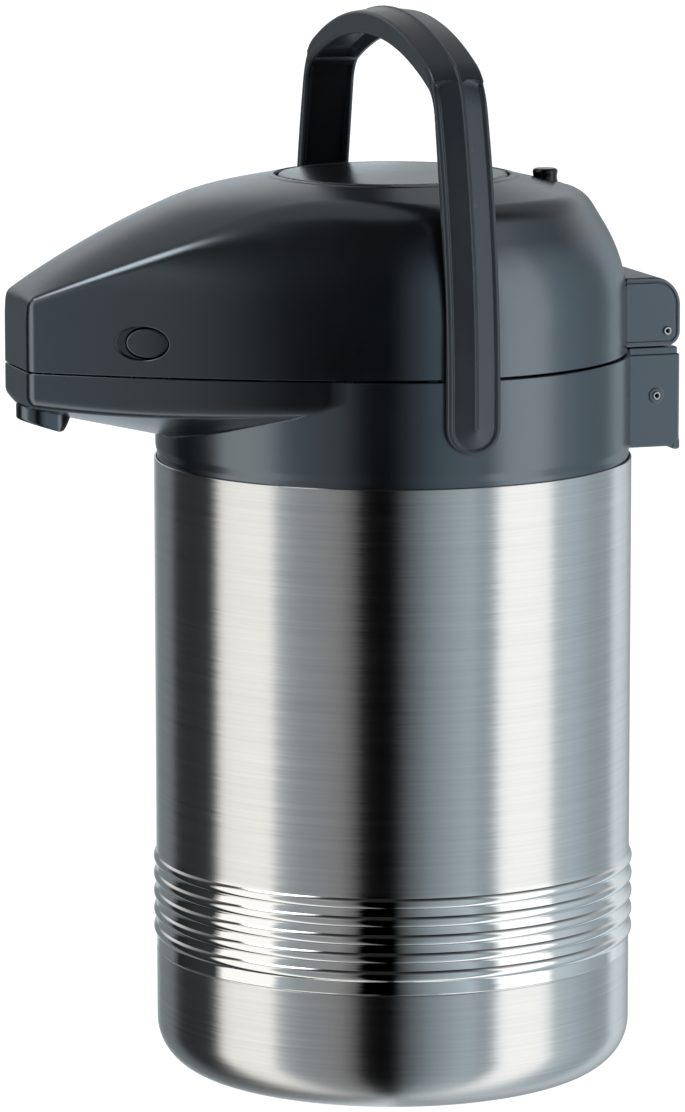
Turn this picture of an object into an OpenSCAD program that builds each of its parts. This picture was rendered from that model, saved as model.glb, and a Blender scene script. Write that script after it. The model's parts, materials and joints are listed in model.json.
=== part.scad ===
// Thermal coffee airpot: a steel vacuum jug with a pump lid, a pouring beak and a swinging handle.
// Frame: origin at the centre of the base, +Z up, beak towards -Y, lid hinge towards +Y.

/* [Casing] */
// Outside radius of the steel casing
body_r = 82.5; // [81:0.5:86]
// Height of the casing's top rim
casing_top = 215.5; // [205:0.5:225]
// Sheet thickness of the casing
casing_t = 0.8; // [0.5:0.1:1.2]
// Radius of the rounded bottom edge
foot_r = 16.5; // [10:0.5:18]
// Number of rolled ribs round the casing
rib_count = 5; // [1:1:7]
// Distance from one rib to the next
rib_pitch = 6.25; // [5.5:0.25:7]
// Height of the lowest rib
rib_low_z = 49.7; // [40:0.1:60]
// How far a rib stands out
rib_out = 1.1; // [0.5:0.1:1.5]

/* [Liner] */
// Inside radius of the inner vessel
vessel_r = 65.5; // [60:0.5:68]
// Width of the vacuum gap
vacuum_gap = 4.6; // [3:0.2:6]
// Sheet thickness of both liner walls
liner_t = 0.6; // [0.5:0.1:0.8]
// Inside radius of the liner's neck
neck_r = 27.5; // [27.5:0.5:30]

/* [Collar and beak] */
// Height of the plastic collar above the casing
collar_h = 35.9; // [35:0.1:38]
// Wall thickness of the plastic shells
wall_t = 2.6; // [2:0.1:3]
// Distance from the axis to the beak's front face
beak_reach = 134; // [130:1:138]
// Half the width of the beak's front face
tip_half_w = 16; // [15:0.5:17]
// Angle at which the beak's sides meet the round head
beak_blend = 20; // [18:0.5:21]
// Outside radius of the nozzle
nozzle_r = 8; // [7.5:0.1:8.5]

/* [Lid] */
// Outside radius of the lid at the parting line
head_r = 80.8; // [80:0.1:81]
// Radius of the crown's soft edge
crown_r = 66.7; // [65:0.1:68]
// Radius of the pump button
pump_r = 39.6; // [38.6:0.1:39.7]
// Travel of the pump button
pump_stroke = 25; // [15:1:25]
// Radius of the lock knob
knob_r = 4.4; // [3.5:0.1:4.5]
// Length of the lock's slot
slot_len = 17.2; // [15:0.2:18]

/* [Handle] */
// Distance from the axis to the handle's outer face at the pivot
handle_x = 88.6; // [88:0.1:90]
// Height of the grip's top
grip_top = 370; // [366:1:372]
// Half the width of the handle's band
handle_half_w = 9.3; // [8.5:0.1:10]

/* [Hinge] */
// Half the width of the hinge blocks
hinge_half_w = 20; // [18:0.5:22]
// Distance from the axis to the lid's hinge pin
hinge_y = 93.5; // [93:0.1:94]
// Radius of both hinge pins
pin_r = 1.2; // [1.1:0.1:1.6]

/* [Hidden] */
$fn = 96;

black = [0.11, 0.12, 0.13];
steel = [0.76, 0.76, 0.76];
rubber = [0.2, 0.2, 0.21];
silicone = [0.85, 0.84, 0.8];

// Gaps: half of the parting line, a running fit on a pin, and a loose fit between plain parts
part_gap = 0.2;
run_gap = 0.05;
loose = 0.1;

// Heights
pad_t = 0.9;
cap_z = 3;
cushion_z = 9;
parting_z = casing_top + collar_h;
deck_z = parting_z - 15.4;
deck_t = 2.5;
lip_z = deck_z - 2.5;
lip_t = 1.2;
insert_z = deck_z + deck_t;
insert_t = 1.5;
air_neck_z = insert_z + 4.5;
base_z = parting_z + 0.6;
base_t = 2.5;
wall_top_z = parting_z + 15.6;
crown_edge_z = parting_z + 55;
crown_hole_z = parting_z + 61.4;
button_top_z = parting_z + 63;
tip_h = 24.3;

// Radii and places round the axis
base_hole_r = 62;
collar_r = body_r - 0.5;
spigot_r = body_r - casing_t - 0.2;
jacket_r = vessel_r + 2 * liner_t + vacuum_gap;
neck_jacket_r = neck_r + liner_t + 2.3;
riser_y = -19;
riser_r = 4.2;
tube_bore = 3;
bend_r = 6.2;
tube_z = insert_z + insert_t + bend_r;
socket_z = insert_z - 9;
air_port_r = 6;
nozzle_y = -beak_reach + nozzle_r;
nozzle_z = parting_z - 21.5;
trough_z = parting_z - 10.9;
spigot_nozzle_r = 5.2;
lock_y = 55.6;
slot_y = 55;
stud_r = 3.5;
pivot_z = casing_top + 20.5;
hinge_z = parting_z + 5.6;
low_pin_y = 89.6;
low_pin_z = casing_top + 19;

// Release buttons: the place on the beak's right wall and the wall's direction there
release_pos = [39.2, -101, parting_z + 11.5];
release_turn = -30.8;
release_slot = [18.2, 11.3];
release_cap = [14.5, 10];
release_flange = [19.5, 13];
release_back = 17;

// Lid: shoulder arc, crown, screws and the lock's guides
shoulder_r = 55;
shoulder_turn = 31;
crown_hole_r = pump_r + 0.6;
sleeve_z = parting_z + 46;
screw_xy = 45;
screw_r = 1.5;
screw_head_t = 1.6;
lock_z = parting_z + 38;
lock_half_w = 6;
lock_back_y = 66;
release_wall_t = 2.5;

// Collar and beak
beak_edge_z = parting_z - 11.5;
belly_y = -74;
keel_r = 165;
lug_half_w = 7.9;
lug_half_h = 6.5;

// Hinge
hinge_r = 5;
tongue_half_w = lug_half_w - loose;
hinge_screw_x = 14;
hinge_screw_z = parting_z + 16;
block_h = 24.1;
block_corner_r = 10;

// Pump: air nozzle, valve and bellows
air_nozzle_r = 9;
valve_r = 2;
post_r = 18;
bellows_shut = 23.9;
lid_floor_z = base_z + base_t;
bellows_top = lid_floor_z + bellows_shut + pump_stroke;

// Handle: the arm's bend, the knuckle where it meets the grip, and the inner side
arm_bend_r = 348;
arm_bend_z = pivot_z + 9;
knuckle_x = 72.3;
knuckle_z = grip_top - 18.5;
arm_in_x = collar_r + 0.4;
arm_in_points = [[arm_in_x, pivot_z - handle_half_w], [arm_in_x, pivot_z + 42],
    [77, pivot_z + 69], [72, pivot_z + 91]];
grip_in_half = 65;
grip_in_rise = 14;
grip_t = 9;

// Longer than anything that is cut, and the overlap of a cut past a face
far = 200;
past = 1;

// Points on a circular arc, from angle a0 to a1
function arc(cx, cy, r, a0, a1, n = 12) =
    [for (i = [0 : n]) let (a = a0 + (a1 - a0) * i / n) [cx + r * cos(a), cy + r * sin(a)]];
function flip(points) = [for (i = [len(points) - 1 : -1 : 0]) [-points[i][0], points[i][1]]];

// The beak's side wall is an arc that touches the round head at beak_blend and ends at the tip's corner
blend_q = tip_half_w * cos(beak_blend) + beak_reach * sin(beak_blend);
side_d = (tip_half_w * tip_half_w + beak_reach * beak_reach - head_r * head_r) / (2 * (head_r - blend_q));
side_r = side_d + head_r;
side_c = [-side_d * cos(beak_blend), side_d * sin(beak_blend)];
function side_x(y, inset = 0) = side_c[0] + sqrt(pow(side_r - inset, 2) - pow(y - side_c[1], 2));
function side_points(inset) =
    let (end = -asin((beak_reach - inset + side_c[1]) / (side_r - inset)))
    arc(side_c[0], side_c[1], side_r - inset, -beak_blend, end, 16);

// Outline of the head and beak seen from above, moved in by inset
module plan_outline(inset = 0) {
    side = side_points(inset);
    circle(r = head_r - inset);
    polygon(concat(side, flip(side)));
}

module ring(r_out, r_in, z0, z1) {
    translate([0, 0, z0]) difference() {
        cylinder(r = r_out, h = z1 - z0);
        translate([0, 0, -past]) cylinder(r = r_in, h = z1 - z0 + 2 * past);
    }
}

module rod_x(r, x0, x1, y, z) {
    translate([x0, y, z]) rotate([0, 90, 0]) cylinder(r = r, h = x1 - x0);
}

module rod_y(r, y0, y1, x, z) {
    translate([x, y0, z]) rotate([-90, 0, 0]) cylinder(r = r, h = y1 - y0);
}

// Coil spring along +Z: a round wire swept round a helix
module coil(r, wire_r, length, turns, steps = 16, sides = 6) {
    n = turns * steps;
    rise = length - 2 * wire_r;
    rings = [for (i = [0 : n], k = [0 : sides - 1])
        let (a = 360 * i / steps, b = 360 * k / sides, q = r + wire_r * cos(b))
        [q * cos(a), q * sin(a), wire_r + rise * i / n + wire_r * sin(b)]];
    quads = [for (i = [0 : n - 1], k = [0 : sides - 1])
        let (k2 = (k + 1) % sides)
        [i * sides + k, i * sides + k2, (i + 1) * sides + k2, (i + 1) * sides + k]];
    first = [for (k = [sides - 1 : -1 : 0]) k];
    last = [for (k = [0 : sides - 1]) n * sides + k];
    polyhedron(points = rings, faces = concat(quads, [first, last]), convexity = 10);
}

// ---- Casing and base ----

// Half profile of the casing's skin, thick t, with its rounded bottom edge
module casing_skin(t) {
    difference() {
        union() {
            translate([0, pad_t + foot_r]) square([body_r, casing_top - pad_t - foot_r]);
            translate([0, pad_t]) square([body_r - foot_r, foot_r]);
            translate([body_r - foot_r, pad_t + foot_r]) circle(r = foot_r);
        }
        translate([0, pad_t + foot_r]) square([body_r - t, casing_top]);
        translate([0, pad_t + t]) square([body_r - foot_r, foot_r]);
        translate([body_r - foot_r, pad_t + foot_r]) circle(r = foot_r - t);
    }
}

module outer_casing() {
    rib_round = 2.2;
    color(steel) rotate_extrude() difference() {
        union() {
            casing_skin(casing_t);
            for (i = [0 : rib_count - 1])
                translate([body_r + rib_out - rib_round, rib_low_z + i * rib_pitch]) circle(r = rib_round);
        }
        translate([-past, 0]) square([base_hole_r + past, casing_top]);
        translate([0, pad_t + foot_r]) square([body_r - casing_t, casing_top]);
    }
}

// Plastic cap in the casing's bottom hole, with a round wall that centres the liner's cushion
module base_cap() {
    wall_r = 50;
    wall = 3;
    flange_r = base_hole_r + 4;
    flange_z = cap_z + 0.6;
    plug_r = base_hole_r - 0.2;
    wall_z = cushion_z - 0.5;
    color(black) rotate_extrude() polygon([[0, pad_t], [plug_r, pad_t], [plug_r, pad_t + casing_t],
        [flange_r, pad_t + casing_t], [flange_r, flange_z], [wall_r, flange_z], [wall_r, wall_z],
        [wall_r - wall, wall_z], [wall_r - wall, cap_z], [0, cap_z]]);
}

module base_pad() {
    color(rubber) cylinder(r = base_hole_r - 3, h = pad_t);
}

module liner_cushion() {
    cushion_r = 46.5;
    hole_r = 20;
    color(rubber) ring(cushion_r, hole_r, cap_z, cushion_z);
}

// ---- Vacuum liner ----

// Filled half profile of a bottle: rounded bottom, straight side, arched shoulder and neck
module bottle(r, z0, bottom_r, neck, z_neck, z_top) {
    shoulder = 43;
    steps = 16;
    polygon(concat([[0, z0]], arc(r - bottom_r, z0 + bottom_r, bottom_r, -90, 0),
        [for (i = [0 : steps]) let (a = 90 * i / steps)
            [neck + (r - neck) * cos(a), z_neck - shoulder + shoulder * sin(a)]],
        [[neck, z_top], [0, z_top]]));
}

module liner_jacket() {
    top = lip_z - lip_t;
    bottom_r = 14;
    neck_z = lip_z - 20;
    color(steel) rotate_extrude() difference() {
        bottle(jacket_r, cushion_z, bottom_r, neck_jacket_r, neck_z, top);
        bottle(jacket_r - liner_t, cushion_z + liner_t, bottom_r - liner_t, neck_jacket_r - liner_t,
            neck_z - liner_t, top + past);
    }
}

module liner_vessel() {
    outer_r = vessel_r + liner_t;
    z0 = cushion_z + liner_t + vacuum_gap;
    bottom_r = 12;
    neck_z = lip_z - 25;
    lip_out = 0.8;
    color(steel) rotate_extrude() difference() {
        union() {
            bottle(outer_r, z0, bottom_r, neck_r + liner_t, neck_z, lip_z);
            translate([0, lip_z - lip_t]) square([neck_jacket_r + lip_out, lip_t]);
        }
        bottle(vessel_r, z0 + liner_t, bottom_r - liner_t, neck_r, neck_z - liner_t, lip_z + past);
    }
}

module neck_gasket() {
    color(silicone) ring(neck_jacket_r + 2.5, neck_r, lip_z, deck_z);
}

// ---- Collar, beak and hinge bracket ----

// Underside of the beak: from the plan outline down to a round keel where it meets the collar
module belly(inset) {
    keel_z = parting_z - 26 + inset;
    keel_h = 14;
    half_w = side_x(belly_y, inset);
    rear_y = -50;
    hull() {
        translate([0, 0, beak_edge_z + loose + inset]) linear_extrude(0.5) intersection() {
            plan_outline(inset);
            translate([-far / 2, -beak_reach]) square([far, beak_reach + rear_y]);
        }
        translate([0, belly_y, 0]) rotate([90, 0, 0]) linear_extrude(1) intersection() {
            translate([0, keel_z + keel_r]) circle(r = keel_r, $fn = 180);
            translate([-half_w, keel_z]) square([2 * half_w, keel_h]);
        }
    }
}

module collar() {
    wall_in = collar_r - wall_t;
    tuck_r = collar_r - 0.8;
    tuck_z = casing_top + 2.5;
    ledge_z = casing_top + 3;
    spigot_in = spigot_r - 2.3;
    spigot_z = casing_top - 11;
    neck_hole_r = neck_r + 2;
    boss_r = 7;
    way = [12, 12, 20];
    color(black) difference() {
        union() {
            // Round wall with its bottom edge tucked in, the spigot inside the casing and the deck
            rotate_extrude() polygon([[wall_in, deck_z], [wall_in, ledge_z], [spigot_in, ledge_z],
                [spigot_in, spigot_z], [spigot_r, spigot_z], [spigot_r, casing_top],
                [tuck_r, casing_top + 0.3], [collar_r, tuck_z], [collar_r, parting_z - part_gap],
                [wall_in, parting_z - part_gap], [wall_in, insert_z], [neck_hole_r, insert_z],
                [neck_hole_r, deck_z]]);
            // Beak trough, open at the top
            difference() {
                union() {
                    translate([0, 0, beak_edge_z]) linear_extrude(parting_z - part_gap - beak_edge_z)
                        plan_outline();
                    belly(0);
                }
                cylinder(r = collar_r - 1, h = parting_z + past);
                translate([0, 0, trough_z]) linear_extrude(far) plan_outline(wall_t);
                belly(wall_t);
            }
            // Bosses for the handle's studs
            for (side = [0, 1]) mirror([side, 0, 0])
                rod_x(boss_r, collar_r - 7.5, collar_r - 1, 0, pivot_z);
            // Lug that carries the hinge bracket
            translate([-lug_half_w, collar_r - 1, low_pin_z - lug_half_h])
                cube([2 * lug_half_w, low_pin_y - collar_r + 2.4 + past, 2 * lug_half_h]);
        }
        for (side = [0, 1]) mirror([side, 0, 0])
            rod_x(stud_r, collar_r - 8, collar_r + past, 0, pivot_z);
        rod_x(pin_r, -far, far, low_pin_y, low_pin_z);
        // Way through the front wall for the pouring tube, and the nozzle's hole
        translate([-way[0] / 2, -collar_r - 4, insert_z + 0.5]) cube(way);
        cylinder_at(nozzle_y, spigot_nozzle_r, parting_z - 30, parting_z);
    }
}

module hinge_bracket() {
    back_y = hinge_y + 4;
    front_y = collar_r - 6;
    low_z = casing_top + 1;
    top_z = parting_z - part_gap;
    step = 0.8;
    step_h = 2.4;
    lip_t = 2.5;
    lip_h = 1.2;
    knuckle_r = hinge_r - loose;
    color(black) difference() {
        union() {
            translate([-hinge_half_w, front_y, low_z])
                cube([2 * hinge_half_w, back_y - front_y, top_z - step_h - low_z]);
            translate([-hinge_half_w + step, front_y, top_z - step_h - loose])
                cube([2 * (hinge_half_w - step), back_y - front_y - 0.6, step_h + loose]);
            // Lip along the bottom of the back face
            translate([-hinge_half_w, back_y - lip_t, low_z - lip_h]) cube([2 * hinge_half_w, lip_t, 3]);
            // Tongue that rises between the lid's hinge cheeks
            rod_x(knuckle_r, -tongue_half_w, tongue_half_w, hinge_y, hinge_z);
            translate([-tongue_half_w, hinge_y - knuckle_r, top_z - 1])
                cube([2 * tongue_half_w, knuckle_r + 4, hinge_z - top_z + 1]);
        }
        cylinder(r = collar_r, h = far * 2);
        // Pocket round the collar's lug
        translate([-lug_half_w - loose, collar_r - 8, low_pin_z - lug_half_h - loose])
            cube([2 * (lug_half_w + loose), low_pin_y - collar_r + 10.6, 2 * (lug_half_h + loose)]);
        rod_x(pin_r, -far, far, low_pin_y, low_pin_z);
        rod_x(pin_r, -far, far, hinge_y, hinge_z);
    }
}

// Hollow steel pin along X with a small head at each end
module hollow_pin(y, z) {
    head_t = 0.5;
    head_out = 0.25;
    pin_wall = 0.55;
    reach = hinge_half_w + run_gap;
    color(steel) difference() {
        union() {
            rod_x(pin_r, -reach, reach, y, z);
            for (side = [0, 1]) mirror([side, 0, 0]) rod_x(pin_r + head_out, reach, reach + head_t, y, z);
        }
        rod_x(pin_r - pin_wall, -far, far, y, z);
    }
}

module bracket_pin() {
    hollow_pin(low_pin_y, low_pin_z);
}

module hinge_pin() {
    hollow_pin(hinge_y, hinge_z);
}

module handle_studs() {
    boss_x = collar_r - 7.5;
    head_t = 2;
    color(steel) for (side = [0, 1]) mirror([side, 0, 0]) {
        rod_x(stud_r, boss_x, handle_x - 2.4, 0, pivot_z);
        rod_x(stud_r + 2, boss_x - head_t, boss_x, 0, pivot_z);
    }
}

// ---- Pouring parts ----

// Cup that seats in the liner's neck, with the air port in the middle and the riser's socket in front
module neck_insert() {
    cup_r = neck_r - 1;
    cup_t = 2;
    top_z = insert_z + insert_t;
    color(black) difference() {
        union() {
            ring(cup_r, cup_r - cup_t, insert_z - 12, insert_z);
            cylinder_at(0, neck_r + 5.5, insert_z, top_z);
            cylinder_at(riser_y, riser_r + 2, insert_z - 14, top_z);
        }
        cylinder_at(0, air_port_r, insert_z - 20, top_z + past);
        cylinder_at(riser_y, riser_r, insert_z - 20, top_z + past);
    }
}

module cylinder_at(y, r, z0, z1) {
    translate([0, y, z0]) cylinder(r = r, h = z1 - z0);
}

module riser_tube() {
    bottom = cushion_z + vacuum_gap + 9;
    color(steel) difference() {
        cylinder_at(riser_y, riser_r, bottom, socket_z);
        cylinder_at(riser_y, tube_bore, bottom - past, socket_z + past);
    }
}

// One cross-section of the pouring tube swept up, forward along the trough and down into the nozzle
module tube_path(r) {
    top_z = tube_z - bend_r;
    cylinder_at(riser_y, r, socket_z, top_z);
    translate([0, riser_y - bend_r, top_z]) rotate([90, 0, 90]) rotate_extrude(angle = 90)
        translate([bend_r, 0]) circle(r = r);
    translate([0, riser_y - bend_r, tube_z]) rotate([90, 0, 0])
        cylinder(r = r, h = riser_y - nozzle_y - 2 * bend_r);
    translate([0, nozzle_y + bend_r, top_z]) rotate([90, 0, 90]) rotate_extrude(angle = -90)
        translate([-bend_r, 0]) circle(r = r);
    cylinder_at(nozzle_y, r, nozzle_z + 4, top_z);
}

module spout_tube() {
    color(steel) difference() {
        tube_path(riser_r);
        tube_path(tube_bore);
    }
}

// Nozzle under the beak's tip, with a neck that plugs into the shell and a slanted mouth
module nozzle() {
    slant = 18;
    low = nozzle_z - 5;
    block = 20;
    color(black) difference() {
        union() {
            difference() {
                cylinder_at(nozzle_y, nozzle_r, low, trough_z - 0.5);
                belly(0);
                translate([0, 0, beak_edge_z]) linear_extrude(far) plan_outline();
            }
            cylinder_at(nozzle_y, spigot_nozzle_r, low, trough_z);
        }
        cylinder_at(nozzle_y, riser_r, low - past, trough_z + past);
        translate([0, nozzle_y, nozzle_z]) rotate([-slant, 0, 0])
            translate([-block, -block, -block]) cube([2 * block, 2 * block, block]);
    }
}

// ---- Lid ----

// Solid outer form of the lid: a domed head with the beak hulled to it, moved in by inset
module head_form(inset = 0) {
    low = parting_z + part_gap - (inset > 0 ? 10 : 0);
    soft_w = 5;
    soft_h = 1.5;
    dome = concat([[0, low], [head_r - inset, low]],
        arc(head_r - shoulder_r, wall_top_z, shoulder_r - inset, 0, shoulder_turn, 6),
        [[crown_r - inset, crown_edge_z - inset],
        [crown_r - soft_w - inset, crown_edge_z + soft_h - inset],
        [crown_hole_r, crown_hole_z - inset], [0, crown_hole_z - inset]]);
    hull() {
        rotate_extrude($fn = 64) polygon(dome);
        // Cross-sections of the beak from its tip backwards: upright sides, a crease and a low ridge
        for (back = [0 : 14 : 70]) {
            y = -beak_reach + inset + back;
            side = side_x(y, inset);
            edge = side - 1 - 0.12 * back;
            edge_z = parting_z + tip_h + 0.45 * back - 0.00125 * back * back - inset;
            ridge = 0.2 * back - 0.00115 * back * back;
            translate([0, y, 0]) rotate([90, 0, 0]) linear_extrude(0.2)
                polygon([[-side, low], [side, low], [edge, edge_z], [0, edge_z + ridge], [-edge, edge_z]]);
        }
    }
}

// The four corners where the lid's base is screwed on
module at_lid_screws(z) {
    for (x = [-screw_xy, screw_xy], y = [-screw_xy, screw_xy]) translate([x, y, z]) children();
}

module lid_cover() {
    knob_gap = knob_r + 0.3;
    slot_end = slot_len / 2 - knob_gap;
    slot_z = parting_z + 50;
    sleeve_t = 2.4;
    boss_r = 4;
    guide_t = 1.8;
    color(black) difference() {
        union() {
            difference() {
                head_form();
                head_form(wall_t);
            }
            // Pump sleeve, screw bosses, lock guides and release button seats, ended by the lid's own top
            intersection() {
                head_form(1);
                union() {
                    ring(crown_hole_r + sleeve_t, crown_hole_r, sleeve_z, crown_hole_z);
                    at_lid_screws(lid_floor_z) cylinder(r = boss_r, h = far);
                    for (x = [-lock_half_w - guide_t - 0.2, lock_half_w + 0.2])
                        translate([x, 45, lock_z]) cube([guide_t, 20, 40]);
                    for (side = [0, 1]) mirror([side, 0, 0]) at_release()
                        translate([-release_back - release_wall_t, -8, -8.3])
                            cube([release_wall_t, 16, 60]);
                }
            }
        }
        cylinder_at(0, crown_hole_r, sleeve_z - past, crown_hole_z + past);
        // Slot for the lock knob
        for (y = [slot_y - slot_end, slot_y + slot_end])
            cylinder_at(y, knob_gap, slot_z, crown_hole_z + past);
        translate([-knob_gap, slot_y - slot_end, slot_z])
            cube([2 * knob_gap, 2 * slot_end, crown_hole_z + past - slot_z]);
        at_lid_screws(base_z) cylinder(r = screw_r + loose, h = 16);
        for (side = [0, 1]) mirror([side, 0, 0]) at_release()
            stadium(release_slot[0], release_slot[1], -5, 5);
        for (x = [-hinge_screw_x, hinge_screw_x])
            rod_y(screw_r + loose, head_r - 6, head_r + 2, x, hinge_screw_z);
    }
}

// Hinge block screwed to the back of the lid: two cheeks either side of the bracket's tongue
module lid_hinge_block() {
    z0 = parting_z + part_gap;
    front_y = head_r - 3.5;
    back = hinge_y + hinge_r;
    cheek_x = tongue_half_w + 0.3;
    color(black) difference() {
        translate([-hinge_half_w, 0, 0]) rotate([90, 0, 90]) linear_extrude(2 * hinge_half_w)
            polygon(concat([[front_y, z0]], arc(hinge_y, z0 + hinge_r, hinge_r, -90, 0, 8),
                arc(back - block_corner_r, z0 + block_h - block_corner_r, block_corner_r, 0, 90, 10),
                [[front_y, z0 + block_h]]));
        cylinder(r = head_r + loose, h = crown_edge_z);
        // Room for the tongue
        rod_x(hinge_r + 0.6, -cheek_x, cheek_x, hinge_y, hinge_z);
        translate([-cheek_x, hinge_y - hinge_r - 2.5, parting_z - 5])
            cube([2 * cheek_x, 20, 5 + hinge_z - parting_z]);
        for (x = [-hinge_screw_x, hinge_screw_x])
            rod_y(screw_r + loose, head_r - 6, head_r + 8, x, hinge_screw_z);
        rod_x(pin_r + run_gap, -far, far, hinge_y, hinge_z);
    }
}

// Two screws from inside the lid into the hinge block
module hinge_screws() {
    seat_y = head_r - wall_t - 2;
    color(steel) for (x = [-hinge_screw_x, hinge_screw_x]) {
        rod_y(screw_r, seat_y, head_r + 7.5, x, hinge_screw_z);
        rod_y(2 * screw_r, seat_y - screw_head_t, seat_y, x, hinge_screw_z);
    }
}

// Frame of the right release button: +X points out through the beak's wall
module at_release() {
    translate(release_pos) rotate([0, 0, release_turn]) children();
}

// Block with round ends, length by height, along X from x0 to x1
module stadium(length, height, x0, x1) {
    r = height / 2;
    for (y = [-length / 2 + r, length / 2 - r])
        translate([x0, y, 0]) rotate([0, 90, 0]) cylinder(r = r, h = x1 - x0);
    translate([x0, -length / 2 + r, -r]) cube([x1 - x0, length - height, height]);
}

module lid_base() {
    inset = wall_t + 1.5;
    tip_gap = 8;
    rear_y = -22;
    vent_r = 1.2;
    color(black) difference() {
        union() {
            translate([0, 0, base_z]) linear_extrude(base_t) intersection() {
                plan_outline(inset);
                union() {
                    circle(r = head_r - inset);
                    translate([-far / 2, -beak_reach + tip_gap])
                        square([far, beak_reach - tip_gap + rear_y]);
                }
            }
            cylinder_at(0, air_nozzle_r, air_neck_z, base_z + 1);
        }
        cylinder_at(0, valve_r, air_neck_z - past, lid_floor_z + past);
        at_lid_screws(base_z - past) cylinder(r = screw_r + loose, h = base_t + 2 * past);
        for (a = [30 : 60 : 330]) rotate(a) cylinder_at(6, vent_r, air_neck_z - past, lid_floor_z + past);
    }
}

module lid_screws() {
    color(steel) at_lid_screws(base_z) {
        translate([0, 0, -screw_head_t]) cylinder(r = 2 * screw_r, h = screw_head_t);
        cylinder(r = screw_r, h = 12);
    }
}

module air_seal() {
    color(silicone) ring(2 * air_port_r, air_port_r, insert_z + insert_t, air_neck_z);
}

// Umbrella valve hung in the middle of the lid's air nozzle
module air_valve() {
    umbrella_r = 5.4;
    color(silicone) {
        cylinder_at(0, valve_r, air_neck_z - 0.5, lid_floor_z);
        cylinder_at(0, valve_r + 1, lid_floor_z, lid_floor_z + 1);
        cylinder_at(0, umbrella_r, air_neck_z - 1.5, air_neck_z);
    }
}

// Pump bellows: a pleated wall between a flat bottom ring and a closed top
module bellows() {
    fold_in = 25;
    fold_out = 33;
    end_t = 2;
    pleats = 6;
    pitch = (bellows_top - lid_floor_z - 2 * end_t) / pleats;
    wall = 1.2;
    outside = [for (i = [0 : 2 * pleats])
        [i % 2 == 0 ? fold_in : fold_out, lid_floor_z + end_t + i * pitch / 2]];
    inside = [for (i = [2 * pleats : -1 : 0]) outside[i] - [wall, 0]];
    color(rubber) rotate_extrude() union() {
        polygon(concat(outside, inside));
        translate([post_r, lid_floor_z]) square([12, end_t]);
        translate([0, bellows_top - end_t]) square([fold_in, end_t]);
    }
}

module pump_spring() {
    color(steel) translate([0, 0, lid_floor_z + run_gap])
        coil(14, 0.9, bellows_top - 2.1 - lid_floor_z, 8);
}

module pump_button() {
    skirt_z = parting_z + 44.6;
    skirt_r = pump_r - 2.2;
    under_z = button_top_z - 4.5;
    post_in = post_r - 3;
    edge_r = 1.2;
    color(black) rotate_extrude() polygon(concat([[0, under_z], [post_in, under_z],
        [post_in, bellows_top], [post_r, bellows_top], [post_r, under_z], [skirt_r, under_z - 0.5],
        [skirt_r, skirt_z], [pump_r, skirt_z]],
        arc(pump_r - edge_r, crown_hole_z - edge_r, edge_r, 0, 80, 6), [[0, button_top_z]]));
}

// Tongue that slides under the pump button, with the knob on top
module lock_slider() {
    tongue_tip = pump_r + 2.6;
    tongue_z = lock_z + 2;
    color(black) {
        translate([-lock_half_w, tongue_tip, tongue_z])
            cube([2 * lock_half_w, lock_back_y - tongue_tip, 3]);
        cylinder_at(lock_y, knob_r, tongue_z + 2, crown_hole_z);
    }
}

module release_button() {
    rear_shift = 1.5;
    flange_x = -7;
    stem_r = 1.8;
    color(black) {
        translate([0, rear_shift, 0]) stadium(release_cap[0], release_cap[1], flange_x, -1.2);
        stadium(release_flange[0], release_flange[1], flange_x, -5.5);
        translate([flange_x - 2.5, 0, 0]) rotate([0, 90, 0]) cylinder(r = stem_r, h = 3);
    }
}

module release_button_right() {
    at_release() release_button();
}

module release_button_left() {
    mirror([1, 0, 0]) release_button_right();
}

module release_spring_right() {
    color(steel) at_release() translate([run_gap - release_back, 0, 0]) rotate([0, 90, 0])
        coil(2.7, 0.35, 9.9, 6, 12);
}

module release_spring_left() {
    mirror([1, 0, 0]) release_spring_right();
}

// ---- Handle ----

// Radius of an arch whose ends at +-half stand rise below its top
function arch_r(half, rise) = (half * half + rise * rise) / (2 * rise);

// Outline of the bail seen along Y: outer side up, then the inner side down
module bail_outline(outer_in = 0, inner_in = 0) {
    r_out = arch_r(knuckle_x, grip_top - knuckle_z);
    r_in = arch_r(grip_in_half, grip_in_rise);
    c_in = grip_top - grip_t - r_in;
    arm_end = asin((knuckle_z - arm_bend_z) / arm_bend_r);
    right_out = concat([[handle_x - outer_in, pivot_z - handle_half_w]],
        arc(handle_x - arm_bend_r, arm_bend_z, arm_bend_r - outer_in, 0, arm_end, 10),
        arc(0, grip_top - r_out, r_out - outer_in, acos(knuckle_x / r_out), 90, 12));
    left_in = concat([for (p = arm_in_points) [-p[0] - inner_in, p[1]]],
        flip(arc(0, c_in, r_in + inner_in, 90, acos(grip_in_half / r_in), 12)));
    polygon(concat(right_out, flip(right_out), left_in, flip(left_in)));
}

module handle() {
    wall = 2;
    grip_z = pivot_z + 100;
    color(black) difference() {
        intersection() {
            translate([0, handle_half_w, 0]) rotate([90, 0, 0])
                linear_extrude(2 * handle_half_w) bail_outline();
            // Round lower ends
            translate([-far / 2, 0, pivot_z]) rotate([90, 0, 90]) linear_extrude(far)
                polygon(concat(arc(0, 0, handle_half_w, 180, 360, 24),
                    [[handle_half_w, far], [-handle_half_w, far]]));
        }
        // Channel along the inside of both arms, stopped by the grip and above the pivot
        difference() {
            translate([0, handle_half_w - wall, 0]) rotate([90, 0, 0])
                linear_extrude(2 * (handle_half_w - wall)) bail_outline(2 * wall, -past);
            translate([-far / 2, -far / 2, grip_z]) cube([far, far, far]);
            translate([-far / 2, -far / 2, 0]) cube([far, far, arm_bend_z]);
        }
        for (side = [0, 1]) mirror([side, 0, 0])
            rod_x(stud_r + run_gap, arm_in_x - past, handle_x - 2.3, 0, pivot_z);
    }
}

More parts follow.
